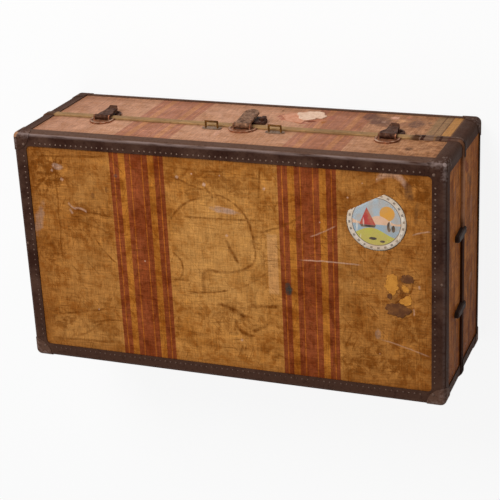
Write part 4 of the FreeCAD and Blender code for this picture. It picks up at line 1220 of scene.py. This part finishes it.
class TRUNK_OT_canvas(bpy.types.Operator):
    """Striped canvas over both halves"""
    bl_idname = "trunk.canvas"
    bl_label = "Canvas"

    def execute(self, context):
        look = context.scene.trunk_canvas
        dress(canvas_material("Lid canvas", look, True), "lid_canvas")
        dress(canvas_material("Base canvas", look, False), "base_canvas")
        return {"FINISHED"}


class TRUNK_OT_bindings(bpy.types.Operator):
    """Fibre bindings and corner caps"""
    bl_idname = "trunk.bindings"
    bl_label = "Bindings and caps"

    def execute(self, context):
        look = context.scene.trunk_binding
        fibre = fibre_material("Binding fibre", look, 0.9, 0.3, 0.0)
        caps = fibre_material("Cap fibre", look, 0.6, 0.8, 0.3)
        for half in HALVES:
            dress(fibre, half + "_edge_binding", half + "_corner_bindings")
            dress(caps, half + "_corner_caps")
        return {"FINISHED"}


class TRUNK_OT_inside(bpy.types.Operator):
    """Boards, lining and dust lip"""
    bl_idname = "trunk.inside"
    bl_label = "Boards and lining"

    def execute(self, context):
        wood = board_material()
        lining = lining_material()
        for half in HALVES:
            dress(wood, *(half + "_" + board for board in
                          ("panel", "front_board", "back_board", "left_board", "right_board")))
            dress(lining, half + "_lining")
        dress(wood, "base_dust_lip")
        return {"FINISHED"}


class TRUNK_OT_metalwork(bpy.types.Operator):
    """Closing strips, lock, catches, hinges, loops, guides and clamps"""
    bl_idname = "trunk.metalwork"
    bl_label = "Metalwork"

    def execute(self, context):
        look = context.scene.trunk_metal
        dress(strip_material(look), "base_closing_strip", "lid_closing_strip")
        rimmed = plated_material("Rimmed plates", look.dish, look.rust, 0.6, 90.0, 0.36, look.rim)
        nickel = plated_material("Worn nickel", look.nickel, look.rust, 0.8, 80.0, 0.34)
        catch = plated_material("Catch steel", look.catch, look.rust, 0.9, 80.0, 0.4, metal=0.12)
        keeper = plated_material("Keeper steel", look.keeper, look.rust, 0.8, 80.0, 0.5, metal=0.05)
        brass = plated_material("Loop brass", look.brass, look.rust, 0.7, 60.0, 0.36)
        plates = plated_material("Loop plates", look.plate, look.rust, 0.5, 60.0, 0.4)
        japan = plated_material("Japanned steel", look.japan, look.rust, 0.5, 40.0, 0.5, metal=0.03)
        sides = tuple(side + "_catch_" + part for side in ("left", "right") for part in ("pin", "hasp"))
        dress(rimmed, "left_catch_plate", "right_catch_plate", "lock_hasp_plate")
        dress(catch, *sides)
        dress(nickel, "lock_hasp_pin", "lock_hasp", "hinge_base_leaves", "hinge_lid_leaves", "hinge_pins")
        dress(keeper, "lock_staple", "lock_case", "lock_slide", "left_catch_keeper", "right_catch_keeper")
        dress(brass, "handle_loops")
        dress(plates, "handle_loop_plates")
        dress(japan, "end_guides")
        dress(clamp_material(), "corner_clamps")
        return {"FINISHED"}


class TRUNK_OT_nails(bpy.types.Operator):
    """Rows of nails in the bindings, and the rivets and pins of the fittings"""
    bl_idname = "trunk.nails"
    bl_label = "Nails and rivets"

    def execute(self, context):
        sizes = context.scene.trunk_nails
        material = nail_material(context.scene.trunk_metal)
        rng = np.random.default_rng(11)
        for body, level, way, height in (("lid", TOP, 1.0, sizes.height), ("base", 0.0, -1.0, sizes.sunk)):
            rows = nail_ring(sizes, rng)
            places = np.column_stack([rows, np.full(len(rows), level)])
            normals = np.tile([0.0, 0.0, way], (len(rows), 1))
            shape = dome(sizes.radius, height, 8, 3)
            headed_pieces(body + "_nails", shape, places, normals, body, material, rng, "nickel")
        for kind, heads, radius in (("cap_rivets", cap_rivets(), sizes.rivet),
                                    ("fitting_rivets", fitting_rivets(), sizes.small_rivet),
                                    ("strip_pins", strip_pins(), sizes.pin)):
            shape = dome(radius, 0.45 * radius, 12, 4)
            for body in HALVES:
                places, normals = zip(*heads[body])
                headed_pieces(f"{body}_{kind}", shape, places, normals, body, material, rng, "nickel")
        return {"FINISHED"}


def label_reach(sizes):
    """Outline of the label along the turn: a slightly wavy circle, cut by a straight line across the tear."""
    tear, facing, wave = math.radians(-62.0), 0.2, 0.006
    turn = np.linspace(0.0, math.tau, 144, endpoint=False)
    toward_tear = np.cos(turn - tear)
    limit = np.where(toward_tear > facing, sizes.torn / np.maximum(toward_tear, facing), 1.0)
    return np.minimum(sizes.radius * (1.0 + wave * np.sin(7 * turn)), limit)


class TRUNK_OT_label(bpy.types.Operator):
    """Round paper label with one torn edge"""
    bl_idname = "trunk.label"
    bl_label = "Label"

    def execute(self, context):
        sizes = context.scene.trunk_label
        lift = 0.0006
        paper_sheet("round_label", sizes.centre, ((1, 0, 0), (0, 1, 0)), label_reach(sizes), lift,
                    sizes.thickness, "lid", label_material(sizes))
        return {"FINISHED"}


class TRUNK_OT_remains(bpy.types.Operator):
    """Torn paper remains on the lid and on the lock side"""
    bl_idname = "trunk.remains"
    bl_label = "Paper remains"

    def execute(self, context):
        sizes = context.scene.trunk_label
        rng = np.random.default_rng(5)
        flat = ((1, 0, 0), (0, 1, 0))
        brown = paper_material("Brown paper", paint(94, 56, 32), paint(134, 86, 46))
        ochre = paper_material("Ochre paper", paint(206, 140, 58), paint(172, 110, 40))
        for index, (name, points) in enumerate(LID_REMAINS.items()):
            centre, reach = torn_reach(points, (-1, 1), 0.09, rng)
            thick = sizes.thickness * (1.0 + 0.5 * index)
            paper_sheet(name, (*centre, CANVAS_TOP), flat, reach, 0.0004, thick, "lid",
                        ochre if name.startswith("ochre") else brown)
        wall = ((1, 0, 0), (0, 0, 1))
        pink = paper_material("Peeled edge", paint(214, 156, 128), paint(190, 120, 84))
        pale = paper_material("Peeled ground", paint(234, 202, 178), paint(216, 172, 144))
        for thick, paper, (name, points) in zip((1.0, 2.5), (pink, pale), LOCK_SIDE_REMAINS.items()):
            (x, z), reach = torn_reach(points, (-1, -1), 0.03, rng)
            paper_sheet(name, (x, -CANVAS_BACK, z), wall, reach, 0.0008 * thick, sizes.thickness * thick,
                        "base", paper)
        return {"FINISHED"}


class TRUNK_OT_stage(bpy.types.Operator):
    """Floor, lights, world and camera"""
    bl_idname = "trunk.stage"
    bl_label = "Stage"

    def execute(self, context):
        look = context.scene.trunk_stage
        context.scene.view_settings.view_transform = "Standard"
        stage_floor()
        stage_world(look)
        stage_lamp("Key", look.key_place, look.key_size, look.key)
        stage_lamp("Fill", look.fill_place, look.fill_size, look.fill)
        context.scene.camera = stage_camera(look)
        return {"FINISHED"}


class TRUNK_PT_panel(bpy.types.Panel):
    """Sidebar panel with the trunk's steps"""
    bl_idname = "TRUNK_PT_panel"
    bl_label = "Striped travel trunk"
    bl_space_type = "VIEW_3D"
    bl_region_type = "UI"
    bl_category = "Trunk"

    def draw(self, context):
        for operator in OPERATORS:
            self.layout.operator(operator.bl_idname)


OPERATORS = (TRUNK_OT_canvas, TRUNK_OT_bindings, TRUNK_OT_inside, TRUNK_OT_metalwork, TRUNK_OT_nails,
             TRUNK_OT_label, TRUNK_OT_remains, TRUNK_OT_stage)
LOOKS = {"trunk_canvas": CanvasLook, "trunk_binding": BindingLook, "trunk_metal": MetalLook,
         "trunk_nails": NailSizes, "trunk_label": LabelSizes, "trunk_stage": StageLook}


def register():
    for kind in (*LOOKS.values(), *OPERATORS, TRUNK_PT_panel):
        bpy.utils.register_class(kind)
    for name, kind in LOOKS.items():
        setattr(bpy.types.Scene, name, bpy.props.PointerProperty(type=kind))


def unregister():
    for name in LOOKS:
        delattr(bpy.types.Scene, name)
    for kind in reversed((*LOOKS.values(), *OPERATORS, TRUNK_PT_panel)):
        bpy.utils.unregister_class(kind)


def main():
    register()
    bpy.ops.trunk.canvas()
    bpy.ops.trunk.bindings()
    bpy.ops.trunk.inside()
    bpy.ops.trunk.metalwork()
    bpy.ops.trunk.nails()
    bpy.ops.trunk.label()
    bpy.ops.trunk.remains()
    bpy.ops.trunk.stage()


if __name__ == "__main__":
    main()
